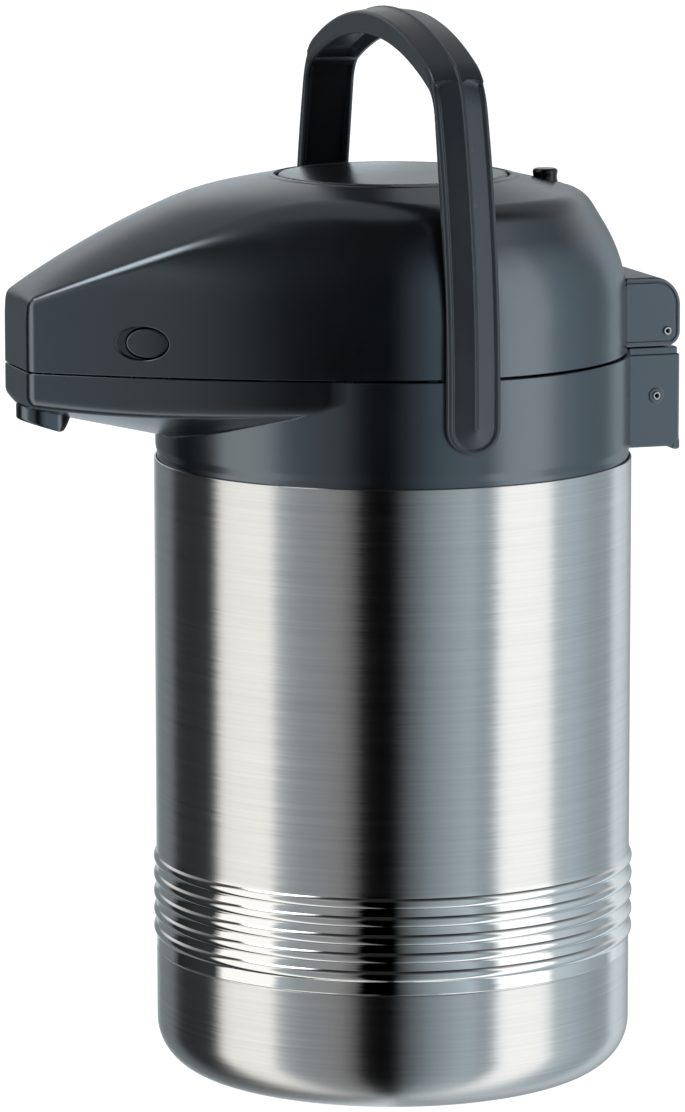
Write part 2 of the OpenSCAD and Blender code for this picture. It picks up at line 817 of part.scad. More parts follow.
outer_casing();
base_cap();
base_pad();
liner_cushion();
liner_jacket();
liner_vessel();
neck_gasket();
collar();
neck_insert();
riser_tube();
spout_tube();
nozzle();
hinge_bracket();
bracket_pin();
hinge_pin();
handle_studs();
lid_cover();
lid_hinge_block();
hinge_screws();
lid_base();
lid_screws();
air_seal();
air_valve();
bellows();
pump_spring();
pump_button();
lock_slider();
release_button_left();
release_button_right();
release_spring_left();
release_spring_right();
handle();
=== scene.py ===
"""Looks of the thermal coffee airpot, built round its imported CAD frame.

The moulded plastic pieces are signed distance fields: a field is negative inside the piece, and its edges are
rounded where two surfaces meet. surface_net() turns a field into a closed mesh. Fields and outlines are in
millimetres, in the frame of the CAD model: beak towards -Y, hinge towards +Y, +Z up.
"""

import json
import math

import bmesh
import bpy
import numpy as np
from mathutils import Matrix, Vector


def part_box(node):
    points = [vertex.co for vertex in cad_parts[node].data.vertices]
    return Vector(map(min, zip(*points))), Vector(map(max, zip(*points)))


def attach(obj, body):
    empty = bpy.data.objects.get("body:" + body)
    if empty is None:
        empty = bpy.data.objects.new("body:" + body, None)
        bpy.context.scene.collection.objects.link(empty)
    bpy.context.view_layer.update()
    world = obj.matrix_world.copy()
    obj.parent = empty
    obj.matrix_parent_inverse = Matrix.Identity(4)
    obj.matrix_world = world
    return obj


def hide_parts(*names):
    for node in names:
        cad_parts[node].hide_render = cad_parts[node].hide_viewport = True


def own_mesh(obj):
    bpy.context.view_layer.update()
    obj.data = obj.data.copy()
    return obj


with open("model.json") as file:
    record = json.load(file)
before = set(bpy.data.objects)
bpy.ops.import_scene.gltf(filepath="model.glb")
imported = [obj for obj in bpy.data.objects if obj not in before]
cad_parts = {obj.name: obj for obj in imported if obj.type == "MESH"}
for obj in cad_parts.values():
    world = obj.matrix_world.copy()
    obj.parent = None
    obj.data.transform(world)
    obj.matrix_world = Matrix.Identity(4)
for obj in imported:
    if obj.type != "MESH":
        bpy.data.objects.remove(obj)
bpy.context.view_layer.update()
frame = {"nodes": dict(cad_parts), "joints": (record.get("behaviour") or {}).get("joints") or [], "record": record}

MM = 0.001
joints = {joint["name"]: joint for joint in frame["joints"]}


def low(node):
    """Lowest corner of a CAD node, in millimetres."""
    return [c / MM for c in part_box(node)[0]]


def high(node):
    """Highest corner of a CAD node, in millimetres."""
    return [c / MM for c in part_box(node)[1]]


def pivot(joint):
    """Place of a hinge's axis, in millimetres."""
    return [c / MM for c in joints[joint]["pos_m"]]


# Sizes from the frame
CASING_TOP = high("outer_casing")[2]
COLLAR_R = high("collar")[0]
BODY_R = COLLAR_R + 0.5
PARTING = (high("collar")[2] + low("lid_cover")[2]) / 2
PART_GAP = (low("lid_cover")[2] - high("collar")[2]) / 2
HEAD_R = high("lid_cover")[0]
BEAK_REACH = -low("lid_cover")[1]
HOLE_Z = high("lid_cover")[2]
PUMP_R = high("pump_button")[0]
PUMP_TOP = high("pump_button")[2]
HOLE_R = PUMP_R + 0.6
HINGE_Y, HINGE_Z = pivot("lid_hinge")[1:]
HINGE_HALF = high("hinge_bracket")[0]
PIVOT_Z = pivot("handle_swing")[2]
HANDLE_X = high("handle")[0]
HANDLE_HALF = high("handle")[1]
GRIP_TOP = high("handle")[2]
LOW_PIN_Y = (low("bracket_pin")[1] + high("bracket_pin")[1]) / 2
LOW_PIN_Z = (low("bracket_pin")[2] + high("bracket_pin")[2]) / 2
NOZZLE_Y = (low("nozzle")[1] + high("nozzle")[1]) / 2
LOCK_Y = low("lock_slider")[1] + 13.4
LOCK_TOP = high("lock_slider")[2]
LOCK_LOW = low("lock_slider")[2]
PUMP_LOW = low("pump_button")[2]
WALL = 2.6


# ---- Fields ----

def meet(a, b, r=0.0):
    """What a and b share, with the edge between them rounded to radius r."""
    return np.minimum(np.maximum(a, b), -r) + np.hypot(np.maximum(a + r, 0), np.maximum(b + r, 0))


def join(a, b, r=0.0):
    """a and b together, with a fillet of radius r."""
    return -meet(-a, -b, r)


def cut(a, b, r=0.0):
    """a without b."""
    return meet(a, -b, r)


def soft_meet(a, b, k):
    """What a and b share, blended over a width of about k on shallow edges."""
    blend = np.maximum(k - np.abs(a - b), 0)
    return np.maximum(a, b) + blend * blend / (4 * k)


def smooth(value, start, end):
    """0 before start, 1 after end, and a smooth step between them."""
    t = np.clip((value - start) / (end - start), 0, 1)
    return t * t * (3 - 2 * t)


def slab(value, start, end):
    """Distance to the layer between two planes."""
    return np.maximum(start - value, value - end)


def stadium(u, v, length, height):
    """Distance to a flat outline with round ends, length along u."""
    half = (length - height) / 2
    return np.hypot(np.maximum(np.abs(u) - half, 0), v) - height / 2


def ellipse(u, v, a, b):
    """Distance to an ellipse, exact near its outline."""
    k0 = np.sqrt((u / a) ** 2 + (v / b) ** 2) + 1e-6
    k1 = np.sqrt((u / a ** 2) ** 2 + (v / b ** 2) ** 2) + 1e-6
    return k0 * (k0 - 1) / k1


def rod(u, v, u0, v0, r):
    """Distance to a round rod seen end on, with its middle at (u0, v0)."""
    return np.hypot(u - u0, v - v0) - r


# ---- Meshes ----

def grid_line(start, end, step, fine):
    """Coordinates from start to end, a step apart. fine lists closer ranges: (from, to, share of a step)."""
    line = [start - 1.5 * step]
    while line[-1] < end + 1.5 * step:
        shares = [share for low_end, high_end, share in fine if low_end < line[-1] < high_end]
        line.append(line[-1] + step * min(shares, default=1))
    return np.array(line, np.float32)


def surface_net(field, box_low, box_high, step, fine=((), (), ())):
    """Points and quads of the closed surface where the field is 0. fine holds fine ranges for each axis."""
    axes = [grid_line(box_low[i], box_high[i], step, fine[i]) for i in range(3)]
    counts = np.array([len(axis) for axis in axes])
    x, y, z = np.meshgrid(*axes, indexing="ij", sparse=True)
    values = np.array(np.broadcast_to(field(x, y, z), counts), np.float32)
    inside = values < 0
    corners = np.zeros(counts - 1, np.int8)
    for i, j, k in np.ndindex(2, 2, 2):
        corners += inside[i:i + counts[0] - 1, j:j + counts[1] - 1, k:k + counts[2] - 1]
    cells = np.argwhere((corners > 0) & (corners < 8))
    index = np.full(counts - 1, -1, np.int32)
    index[tuple(cells.T)] = np.arange(len(cells))
    total = np.zeros((len(cells), 3))
    hits = np.zeros(len(cells))
    for axis in range(3):
        b, c = (axis + 1) % 3, (axis + 2) % 3
        for i, j in np.ndindex(2, 2):
            first = cells.copy()
            first[:, b] += i
            first[:, c] += j
            second = first.copy()
            second[:, axis] += 1
            v0 = values[tuple(first.T)]
            v1 = values[tuple(second.T)]
            crossed = (v0 < 0) != (v1 < 0)
            point = first.astype(float)
            point[:, axis] += np.where(crossed, v0 / np.where(crossed, v0 - v1, 1), 0)
            total += point * crossed[:, None]
            hits += crossed
    total /= hits[:, None]
    points = np.stack([np.interp(total[:, i], np.arange(counts[i]), axes[i]) for i in range(3)], 1)
    quads = []
    for axis in range(3):
        b, c = (axis + 1) % 3, (axis + 2) % 3
        before = [slice(1, -1)] * 3
        after = [slice(1, -1)] * 3
        before[axis] = slice(None, -1)
        after[axis] = slice(1, None)
        change = inside[tuple(before)].astype(np.int8) - inside[tuple(after)]
        edges = np.argwhere(change)
        outward = change[tuple(edges.T)] > 0
        edges[:, b] += 1
        edges[:, c] += 1
        ring = []
        for db, dc in ((-1, -1), (0, -1), (0, 0), (-1, 0)):
            cell = edges.copy()
            cell[:, b] += db
            cell[:, c] += dc
            ring.append(index[tuple(cell.T)])
        quad = np.stack(ring, 1)
        quad[~outward] = quad[~outward][:, ::-1]
        quads.append(quad)
    return points, np.concatenate(quads)


def gradient(field, points, reach=0.02):
    """The field's value and slope at each point."""
    x, y, z = points.T
    value = field(x, y, z)
    slope = [field(x + reach, y, z) - value, field(x, y + reach, z) - value, field(x, y, z + reach) - value]
    return value, np.stack(slope, 1) / reach


def relax(points, quads):
    """Moves each point half of the way to the middle of its quads."""
    middle = points[quads].mean(1)
    count = np.bincount(quads.ravel(), minlength=len(points))[:, None]
    pulled = [np.bincount(quads.ravel(), np.repeat(middle[:, i], 4), len(points)) for i in range(3)]
    return 0.5 * points + 0.5 * np.stack(pulled, 1) / count


def settle(field, points, quads, step):
    """Evens the net out and moves its points on to the exact surface. Returns the points and their normals."""
    for turn in range(6):
        if turn < 3:
            points = relax(points, quads)
        value, slope = gradient(field, points)
        move = value[:, None] * slope / np.maximum((slope ** 2).sum(1), 0.25)[:, None]
        length = np.linalg.norm(move, axis=1)[:, None]
        points = points - move * np.minimum(1, 0.5 * step / np.maximum(length, 1e-9))
    slope = gradient(field, points)[1]
    return points, slope / np.maximum(np.linalg.norm(slope, axis=1), 1e-9)[:, None]


def add_mesh(name, points, quads, normals=None):
    """A mesh object from points in millimetres."""
    mesh = bpy.data.meshes.new(name)
    mesh.vertices.add(len(points))
    mesh.vertices.foreach_set("co", (points * MM).astype(np.float32).ravel())
    mesh.loops.add(quads.size)
    mesh.loops.foreach_set("vertex_index", quads.astype(np.int32).ravel())
    mesh.polygons.add(len(quads))
    mesh.polygons.foreach_set("loop_start", np.arange(0, quads.size, quads.shape[1], dtype=np.int32))
    mesh.update(calc_edges=True)
    mesh.validate()
    mesh.shade_smooth()
    if normals is not None:
        mesh.normals_split_custom_set_from_vertices(normals)
    piece = bpy.data.objects.new(name, mesh)
    bpy.context.scene.collection.objects.link(piece)
    return piece


def moulded(name, field, box_low, box_high, step, fine=((), (), ())):
    """A moulded piece from its field."""
    points, quads = surface_net(field, box_low, box_high, step, fine)
    points, normals = settle(field, points, quads, step)
    return add_mesh(name, points, quads, normals)


def turned(name, profile, segments=256, sharp=25):
    """A piece turned on the Z axis from a closed outline of (radius, height) points, clockwise."""
    count = len(profile)
    radius, height = np.array(profile, float).T
    turn = 2 * np.pi * np.arange(segments) / segments
    points = np.stack([np.outer(np.cos(turn), radius), np.outer(np.sin(turn), radius),
                       np.broadcast_to(height, (segments, count))], 2).reshape(-1, 3)
    i, j = np.meshgrid(np.arange(segments), np.arange(count), indexing="ij")
    i2, j2 = (i + 1) % segments, (j + 1) % count
    quads = np.stack([i * count + j, i * count + j2, i2 * count + j2, i2 * count + j], 2).reshape(-1, 4)
    piece = add_mesh(name, points, quads)
    piece.data.set_sharp_from_angle(angle=math.radians(sharp))
    return piece


def arc(cx, cy, r, start, end, count=8):
    """Points on an arc, from one angle to another, in degrees."""
    return [(cx + r * math.cos(math.radians(a)), cy + r * math.sin(math.radians(a)))
            for a in np.linspace(start, end, count + 1)]


def coil(name, r, wire_r, length, turns, place, steps=32, sides=10):
    """A coil spring of round wire along +Z, put in place by a function of its points."""
    count = turns * steps
    a = 2 * np.pi * np.arange(count + 1) / steps
    # The first and the last turn lie flat, as on a ground spring
    share = np.clip((np.arange(count + 1.0) / steps - 0.8) / (turns - 1.6), 0, 1)
    rise = wire_r + (length - 2 * wire_r) * share
    b = 2 * np.pi * np.arange(sides) / sides
    q = r + wire_r * np.cos(b)
    height = rise[:, None] + wire_r * np.sin(b)
    points = np.stack([np.outer(np.cos(a), q), np.outer(np.sin(a), q), height], 2)
    i, k = np.meshgrid(np.arange(count), np.arange(sides), indexing="ij")
    this = i * sides
    after = this + sides
    k2 = (k + 1) % sides
    quads = np.stack([this + k, this + k2, after + k2, after + k], 2).reshape(-1, 4)
    piece = add_mesh(name, place(points.reshape(-1, 3)), quads)
    close_ends(piece)
    return piece


def close_ends(piece):
    """Fills the open ends of a tube."""
    mesh = bmesh.new()
    mesh.from_mesh(piece.data)
    bmesh.ops.holes_fill(mesh, edges=[e for e in mesh.edges if e.is_boundary], sides=0)
    bmesh.ops.recalc_face_normals(mesh, faces=mesh.faces)
    mesh.to_mesh(piece.data)
    mesh.free()


def place_piece(piece, node, body, material):
    """A piece that stands for a CAD node and rides on its body."""
    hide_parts(node)
    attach(piece, body)
    piece.data.materials.clear()
    piece.data.materials.append(material)
    return piece


# ---- Materials ----

class Look:
    """A material under construction: adds nodes and joins them to its surface."""

    def __init__(self, name, **values):
        self.material = bpy.data.materials.new(name)
        self.material.use_nodes = True
        self.nodes = self.material.node_tree.nodes
        self.links = self.material.node_tree.links
        self.surface = self.nodes["Principled BSDF"]
        self.place = self.add("ShaderNodeTexCoord").outputs["Object"]
        self.set(self.surface, **values)

    def add(self, kind, inputs=None, **settings):
        node = self.nodes.new(kind)
        for key, value in settings.items():
            setattr(node, key, value)
        for key, value in (inputs or {}).items():
            self.feed(node.inputs[key], value)
        return node

    def feed(self, socket, value):
        if isinstance(value, bpy.types.NodeSocket):
            self.links.new(value, socket)
        else:
            socket.default_value = value

    def set(self, node, **values):
        for key, value in values.items():
            self.feed(node.inputs[key.replace("_", " ")], value)

    def stretch(self, scale):
        """The object's coordinates, scaled by a number for each axis."""
        return self.add("ShaderNodeMapping", {"Vector": self.place, "Scale": scale}).outputs["Vector"]

    def noise(self, scale, detail=3.0, vector=None, roughness=0.5):
        inputs = {"Vector": vector or self.place, "Scale": scale, "Detail": detail, "Roughness": roughness}
        return self.add("ShaderNodeTexNoise", inputs).outputs["Fac"]

    def spread(self, value, low, high, start=0.3, end=0.7, interpolation="LINEAR"):
        """value from start to end, spread over low to high."""
        inputs = {"Value": value, "From Min": start, "From Max": end, "To Min": low, "To Max": high}
        node = self.add("ShaderNodeMapRange", inputs, interpolation_type=interpolation)
        return node.outputs["Result"]

    def math(self, operation, a, b=0.0):
        return self.add("ShaderNodeMath", {0: a, 1: b}, operation=operation).outputs[0]

    def mix(self, share, a, b):
        node = self.add("ShaderNodeMix", data_type="RGBA")
        self.feed(node.inputs[0], share)
        self.feed(node.inputs[6], a)
        self.feed(node.inputs[7], b)
        return node.outputs[2]

    def bump(self, height, strength, distance, under=None):
        inputs = {"Height": height, "Strength": strength, "Distance": distance}
        if under is not None:
            inputs["Normal"] = under
        return self.add("ShaderNodeBump", inputs).outputs["Normal"]


def plastic(name, colour, tint, roughness, grain, shine=1.0, ior=1.87):
    """Moulded plastic: a fine grain, faint flow marks, and edges rubbed a little brighter."""
    look = Look(name, Specular_IOR_Level=shine, IOR=ior, Specular_Tint=(*tint, 1))
    flow = look.noise(28.0, 4.0)
    fine = look.noise(2600.0, 2.0)
    scuff = look.noise(260.0, 5.0, look.stretch((1, 1, 0.35)), 0.7)
    worn = look.spread(look.add("ShaderNodeNewGeometry").outputs["Pointiness"], 0.0, 1.0, 0.53, 0.62)
    darker = tuple(0.75 * c for c in colour)
    lighter = tuple(min(1, 2.2 * c) for c in colour)
    base = look.mix(look.spread(flow, 0.0, 1.0), (*darker, 1), (*colour, 1))
    base = look.mix(look.math("MULTIPLY", worn, 0.5), base, (*lighter, 1))
    rough = look.spread(flow, roughness - 0.03, roughness + 0.03)
    rough = look.math("ADD", rough, look.spread(scuff, 0.0, 0.03, 0.5, 0.75))
    normal = look.bump(fine, grain, 0.00012)
    look.set(look.surface, Base_Color=base, Roughness=rough, Normal=normal)
    return look.material


def turned_steel(look, base, rough, anisotropy):
    """Fine lines that run round the Z axis, with the shine drawn out across them."""
    lines = look.noise(1.0, 3.0, look.stretch((8, 8, 1500)), 0.6)
    bands = look.noise(1.0, 2.0, look.stretch((14, 14, 300)), 0.6)
    strokes = look.noise(1.0, 3.0, look.stretch((40, 40, 1900)), 0.7)
    streaks = look.math("ADD", look.math("MULTIPLY", lines, 0.65), look.math("MULTIPLY", bands, 0.35))
    darker = tuple(0.9 * c for c in base)
    colour = look.mix(look.spread(streaks, 0.0, 1.0, 0.35, 0.65), (*darker, 1), (*base, 1))
    roughness = look.spread(streaks, rough - 0.02, rough + 0.02, 0.35, 0.65)
    tangent = look.add("ShaderNodeTangent", direction_type="RADIAL", axis="Z").outputs[0]
    # Each stroke of the brush tips the surface a little to one side
    sideways = look.spread(strokes, -BRUSH_SWAY, BRUSH_SWAY)
    sway = look.add("ShaderNodeVectorMath", {0: tangent, "Scale": sideways}, operation="SCALE").outputs[0]
    facing = look.add("ShaderNodeNewGeometry").outputs["Normal"]
    turned_face = look.add("ShaderNodeVectorMath", {0: facing, 1: sway}, operation="ADD").outputs[0]
    face = look.add("ShaderNodeVectorMath", {0: turned_face}, operation="NORMALIZE").outputs[0]
    normal = look.bump(lines, 0.05, 0.00005, face)
    look.set(look.surface, Metallic=1.0, Base_Color=colour, Roughness=roughness, Anisotropic=anisotropy,
             Anisotropic_Rotation=0.25, Tangent=tangent, Normal=normal)
    return colour, roughness


def brushed_casing():
    """Brushed steel, with a polished band round the rolled ribs."""
    look = Look("brushed_steel")
    colour, rough = turned_steel(look, CASING_STEEL, 0.25, 0.93)
    height = look.add("ShaderNodeSeparateXYZ", {0: look.place}).outputs["Z"]
    begin = look.spread(height, 0.0, 1.0, (BAND_LOW - 0.2) * MM, (BAND_LOW + 0.2) * MM)
    end = look.spread(height, 1.0, 0.0, (BAND_HIGH - 2) * MM, (BAND_HIGH + 2) * MM, "SMOOTHSTEP")
    band = look.math("MULTIPLY", begin, end)
    polished = look.noise(90.0, 3.0)
    shiny = look.spread(polished, 0.045, 0.075)
    rough = look.add("ShaderNodeMix", {0: band, 2: rough, 3: shiny}).outputs[0]
    drawn = look.math("SUBTRACT", 0.93, look.math("MULTIPLY", band, 0.8))
    bright = tuple(min(1, 1.12 * c) for c in CASING_STEEL)
    colour = look.mix(band, colour, (*bright, 1))
    look.set(look.surface, Roughness=rough, Base_Color=colour, Anisotropic=drawn)
    return look.material


def plain_steel(name, base, rough, scale=700.0):
    """Drawn or stamped steel with small marks."""
    look = Look(name, Metallic=1.0)
    marks = look.noise(scale, 4.0, look.stretch((1, 1, 0.2)), 0.6)
    clouds = look.noise(60.0, 3.0)
    darker = tuple(0.8 * c for c in base)
    colour = look.mix(look.spread(clouds, 0.0, 1.0), (*darker, 1), (*base, 1))
    look.set(look.surface, Base_Color=colour, Roughness=look.spread(marks, rough - 0.04, rough + 0.08),
             Normal=look.bump(marks, 0.15, 0.00005))
    return look.material


def soft_rubber(name, colour, rough, clear=0.0):
    """Rubber or silicone: matt, faintly mottled and a little dusty."""
    look = Look(name, Transmission_Weight=clear)
    mottle = look.noise(120.0, 5.0)
    dust = look.noise(900.0, 3.0)
    darker = tuple(0.8 * c for c in colour)
    base = look.mix(look.spread(mottle, 0.0, 1.0), (*darker, 1), (*colour, 1))
    look.set(look.surface, Base_Color=base, Roughness=look.spread(dust, rough - 0.06, rough + 0.06),
             Normal=look.bump(dust, 0.3, 0.0001))
    return look.material


# How far a stroke of the brush tips the surface
BRUSH_SWAY = 0.008
# The polished band round the ribs
BAND_LOW = 43.2
BAND_HIGH = 77.0
CASING_STEEL = (0.74, 0.735, 0.73)
COOL = (0.77, 0.89, 1.0)

looks = {
    "black_plastic": plastic("black_plastic", (0.0025, 0.003, 0.0035), COOL, 0.22, 0.12),
    "handle_plastic": plastic("handle_plastic", (0.032, 0.037, 0.043), COOL, 0.33, 0.3, 0.8, 1.5),
    "hinge_plastic": plastic("hinge_plastic", (0.02, 0.023, 0.027), COOL, 0.36, 0.3, 1.0, 1.95),
    # Painted shade: a dark, dull plastic that makes the handle's channels look shadowed
    "channel_painted_shade": plastic("channel_painted_shade", (0.003, 0.003, 0.0035), COOL, 0.6, 0.4, 0.25, 1.45),
    "gloss_black": plastic("gloss_black", (0.004, 0.004, 0.005), (1, 1, 1), 0.12, 0.05, 0.5, 1.5),
    "brushed_steel": brushed_casing(),
    "liner_steel": plain_steel("liner_steel", (0.62, 0.62, 0.63), 0.3),
    "tube_steel": plain_steel("tube_steel", (0.66, 0.66, 0.67), 0.22),
    "pin_steel": plain_steel("pin_steel", (0.78, 0.78, 0.79), 0.15),
    "rubber": soft_rubber("rubber", (0.045, 0.045, 0.047), 0.7),
    "silicone": soft_rubber("silicone", (0.72, 0.71, 0.68), 0.45, 0.25),
}


# ---- Head and beak ----

# From above, the beak's sides are arcs that meet the head's circle, BEAK_BLEND in front of its widest points
BEAK_BLEND = math.radians(20)
TIP_HALF = 16.0
TIP_H = 24.3
TIP_OUT = TIP_HALF * math.cos(BEAK_BLEND) + BEAK_REACH * math.sin(BEAK_BLEND)
SIDE_D = (TIP_HALF ** 2 + BEAK_REACH ** 2 - HEAD_R ** 2) / (2 * (HEAD_R - TIP_OUT))
SIDE_R = SIDE_D + HEAD_R
SIDE_X = -SIDE_D * math.cos(BEAK_BLEND)
SIDE_Y = SIDE_D * math.sin(BEAK_BLEND)
WALL_TOP = PARTING + 15.6
SHOULDER_R = 55.0
SHOULDER_TURN = math.radians(31)


def side_x(y):
    """Half width of the beak at y, at the parting line."""
    return SIDE_X + np.sqrt(SIDE_R ** 2 - (y - SIDE_Y) ** 2)


def outline(x, y, corner=2.0):
    """Distance to the head and beak seen from above."""
    ax = np.abs(x)
    head = np.hypot(ax, y) - HEAD_R
    side = np.hypot(ax - SIDE_X, y - SIDE_Y) - SIDE_R
    wall = np.where(y < -ax * math.tan(BEAK_BLEND), side, head)
    return meet(wall, -BEAK_REACH - y, corner)


def shoulder(z):
    """How far the lid's side has moved in at height z: an arc, then a straight slope."""
    rise = SHOULDER_R * math.sin(SHOULDER_TURN)
    up = np.clip(z - WALL_TOP, 0, rise)
    above = np.maximum(z - WALL_TOP - rise, 0)
    return SHOULDER_R - np.sqrt(SHOULDER_R ** 2 - up * up) + above * math.tan(SHOULDER_TURN)


def roof(x, y):
    """Height of the lid's top: the crown's cone, and in front of it the beak's crowned ridge."""
    back = np.clip(y + BEAK_REACH, 0, 134)
    ridge = PARTING + TIP_H + 0.65 * back - 0.0024 * back ** 2
    drop = 0.2 * back - 0.00115 * back ** 2
    crease_x = side_x(np.minimum(y, -20)) - 1 - 0.12 * back
    beak = ridge - drop * (x / crease_x) ** 2
    r = np.hypot(x, y)
    front = smooth(-y / np.maximum(r, 1), 0.2, 1.0)
    crown = HOLE_Z - (r - HOLE_R) * (0.2415 - 0.083 * front)
    return -soft_meet(-beak, -crown, 3.0)


def lid_form(x, y, z):
    """The lid's outer form, open-ended below."""
    back = y + BEAK_REACH
    crease = 2.2 + 7 * smooth(back, 45, 95) - 5.5 * smooth(back, 105, 150)
    side = (outline(x, y) + shoulder(z)) * 0.97
    return soft_meet(side, (z - roof(x, y)) * 0.9, crease)


RELEASE_AXIS = Vector(joints["release_press_right"]["axis"])
RELEASE_Y = -BEAK_REACH + 33
RELEASE_X = float(side_x(RELEASE_Y))
RELEASE_Z = PARTING + 11.5
# The button's cap lies a little further back than its dish
RELEASE_BACK = 1.5
# Half lengths and half heights of the release buttons' ovals
BACKING = (10.5, 7)
DISH = (9.1, 5.65)
OPENING = (7.6, 5.3)
CAP = (7.25, 5.0)
SLEEVE_T = 1.3
SLEEVE_H = 16.0
SLOT_Y = 55.0
SLOT_LONG = 17.2
SLOT_WIDE = 9.4
SLOT_DEEP = 12.0


def at_release(x, y):
    """Coordinates in the frame of the nearer release button: outwards through the wall, and back along it."""
    ax = np.abs(x) - RELEASE_X
    dy = y - RELEASE_Y
    nx, ny = -RELEASE_AXIS.x, -RELEASE_AXIS.y
    return ax * nx + dy * ny, -ax * ny + dy * nx


def lid_field(x, y, z):
    """The lid cover: a shell with the pump's sleeve, the lock's slot and a dish for each release button."""
    form = lid_form(x, y, z)
    r = np.hypot(x, y)
    bottom = PARTING + PART_GAP - z
    shell = cut(meet(form, bottom, 0.5), form + WALL, 0.4)
    sleeve = np.maximum(np.abs(r - HOLE_R - SLEEVE_T) - SLEEVE_T, HOLE_Z - SLEEVE_H - z)
    sleeve = meet(sleeve, form, 0.4)
    shell = join(shell, sleeve, 0.5)
    shell = cut(shell, r - HOLE_R, 0.5)
    slot = np.maximum(stadium(y - SLOT_Y, x, SLOT_LONG, SLOT_WIDE), HOLE_Z - SLOT_DEEP - z)
    shell = cut(shell, slot, 0.5)
    out, along = at_release(x, y)
    rise = z - RELEASE_Z
    backing = np.maximum(ellipse(along, rise, *BACKING), slab(out, -3.6, -0.8))
    shell = join(shell, backing)
    dish = np.maximum(ellipse(along, rise, *DISH), -1.5 - 0.04 * along - out)
    shell = cut(shell, dish, 0.5)
    opening = np.maximum(ellipse(along - RELEASE_BACK, rise, *OPENING), -9 - out)
    return cut(shell, opening, 0.3)


def make_lid_cover():
    seam = PARTING + PART_GAP
    fine_x = [(side * RELEASE_X - 8, side * RELEASE_X + 8, 0.4) for side in (-1, 1)]
    fine_y = [(RELEASE_Y - 11, RELEASE_Y + 10, 0.4)]
    fine_z = [(seam - 1.2, seam + 1.6, 0.3), (RELEASE_Z - 7, RELEASE_Z + 7, 0.4)]
    piece = moulded("lid_cover_shell", lid_field, (-HEAD_R, -BEAK_REACH, PARTING),
                    (HEAD_R, HEAD_R, HOLE_Z), 0.8, (fine_x, fine_y, fine_z))
    return place_piece(piece, "lid_cover", "lid", looks["black_plastic"])


# ---- Collar and the beak's lower shell ----

DECK_Z = PARTING - 15.4
DECK_T = 2.5
MOUTH_R = 29.5
SPIGOT_H = 11.0
TUBE_WAY_HALF = 6.0
NOZZLE_R = 8.0
NOZZLE_LONG = 11.0
NECK_R = 5.2
NOZZLE_BORE = 4.2
NECK_TOP = PARTING - 10.9


def belly(x, y):
    """Height of the underside of the beak: a keel that rises towards the tip, and rises to each side."""
    keel = PARTING - 25.6 - 0.23 * (y + COLLAR_R)
    return keel + 0.0047 * x * x + 1.2 * (1 - np.exp(-x * x / 200))


def collar_field(x, y, z):
    """The collar: a ring with a deck and a spigot, and the lower half of the beak in front."""
    r = np.hypot(x, y)
    top = z - (PARTING - PART_GAP)
    tuck = 0.2 * np.maximum(CASING_TOP + 4.3 - z, 0) + 0.5 * np.maximum(CASING_TOP + 1.5 - z, 0)
    wall = meet(r - COLLAR_R + tuck, COLLAR_R - WALL - r, 0.4)
    wall = meet(wall, np.maximum(top, CASING_TOP + 0.3 - z), 0.5)
    spigot = np.maximum(slab(r, BODY_R - 3.3, BODY_R - 1), slab(z, CASING_TOP - SPIGOT_H, CASING_TOP + 3))
    deck = np.maximum(slab(z, DECK_Z, DECK_Z + DECK_T), slab(r, MOUTH_R, COLLAR_R - 1))
    side = outline(x, y)
    under = (belly(x, y) - z) * 0.95
    shell = meet(meet(side, top, 0.5), under, 3.5)
    hollow = np.maximum(side + WALL, under + WALL)
    shell = cut(shell, hollow, 0.5)
    shell = np.maximum(shell, COLLAR_R - 1 - r)
    body = join(join(wall, deck, 1.0), spigot)
    body = join(body, shell, 0.5)
    tube_way = np.maximum(np.abs(x) - TUBE_WAY_HALF, slab(y, -COLLAR_R - 4, -COLLAR_R + 8))
    tube_way = np.maximum(tube_way, DECK_Z + 3 - z)
    return cut(cut(body, tube_way, 0.3), rod(x, y, 0, NOZZLE_Y, NECK_R), 0.3)


def make_collar():
    seam = PARTING - PART_GAP
    fine_z = [(seam - 1.6, seam + 1.2, 0.3), (CASING_TOP - 0.5, CASING_TOP + 2.5, 0.4)]
    piece = moulded("collar_shell", collar_field, (-COLLAR_R, -BEAK_REACH, CASING_TOP - SPIGOT_H),
                    (COLLAR_R, COLLAR_R, PARTING), 0.8, ((), (), fine_z))
    return place_piece(piece, "collar", "jug", looks["black_plastic"])


def nozzle_field(x, y, z):
    """The spout: its mouth slopes down towards the back, and its heel slopes up from there."""
    back = np.maximum(y - NOZZLE_Y - 3, 0) + np.minimum(y - NOZZLE_Y, 0)
    r = np.hypot(x, back)
    front_z = PARTING - 17.6
    body = meet(r - NOZZLE_R, z - belly(x, y) - 1, 0.3)
    mouth = (front_z - 0.327 * (y - NOZZLE_Y + NOZZLE_R) - z) * 0.95
    heel = (y - NOZZLE_Y - NOZZLE_LONG + 0.88 * (front_z - z)) * 0.75
    body = meet(meet(body, mouth, 0.8), heel, 2.5)
    neck = np.maximum(rod(x, y, 0, NOZZLE_Y, NECK_R), slab(z, front_z, NECK_TOP))
    body = join(body, neck)
    return cut(body, rod(x, y, 0, NOZZLE_Y, NOZZLE_BORE), 0.5)


def make_nozzle():
    piece = moulded("nozzle_spout", nozzle_field, (-NOZZLE_R, NOZZLE_Y - NOZZLE_R, PARTING - 23),
                    (NOZZLE_R, NOZZLE_Y + NOZZLE_LONG, NECK_TOP), 0.35)
    return place_piece(piece, "nozzle", "jug", looks["black_plastic"])


# ---- Hinge ----

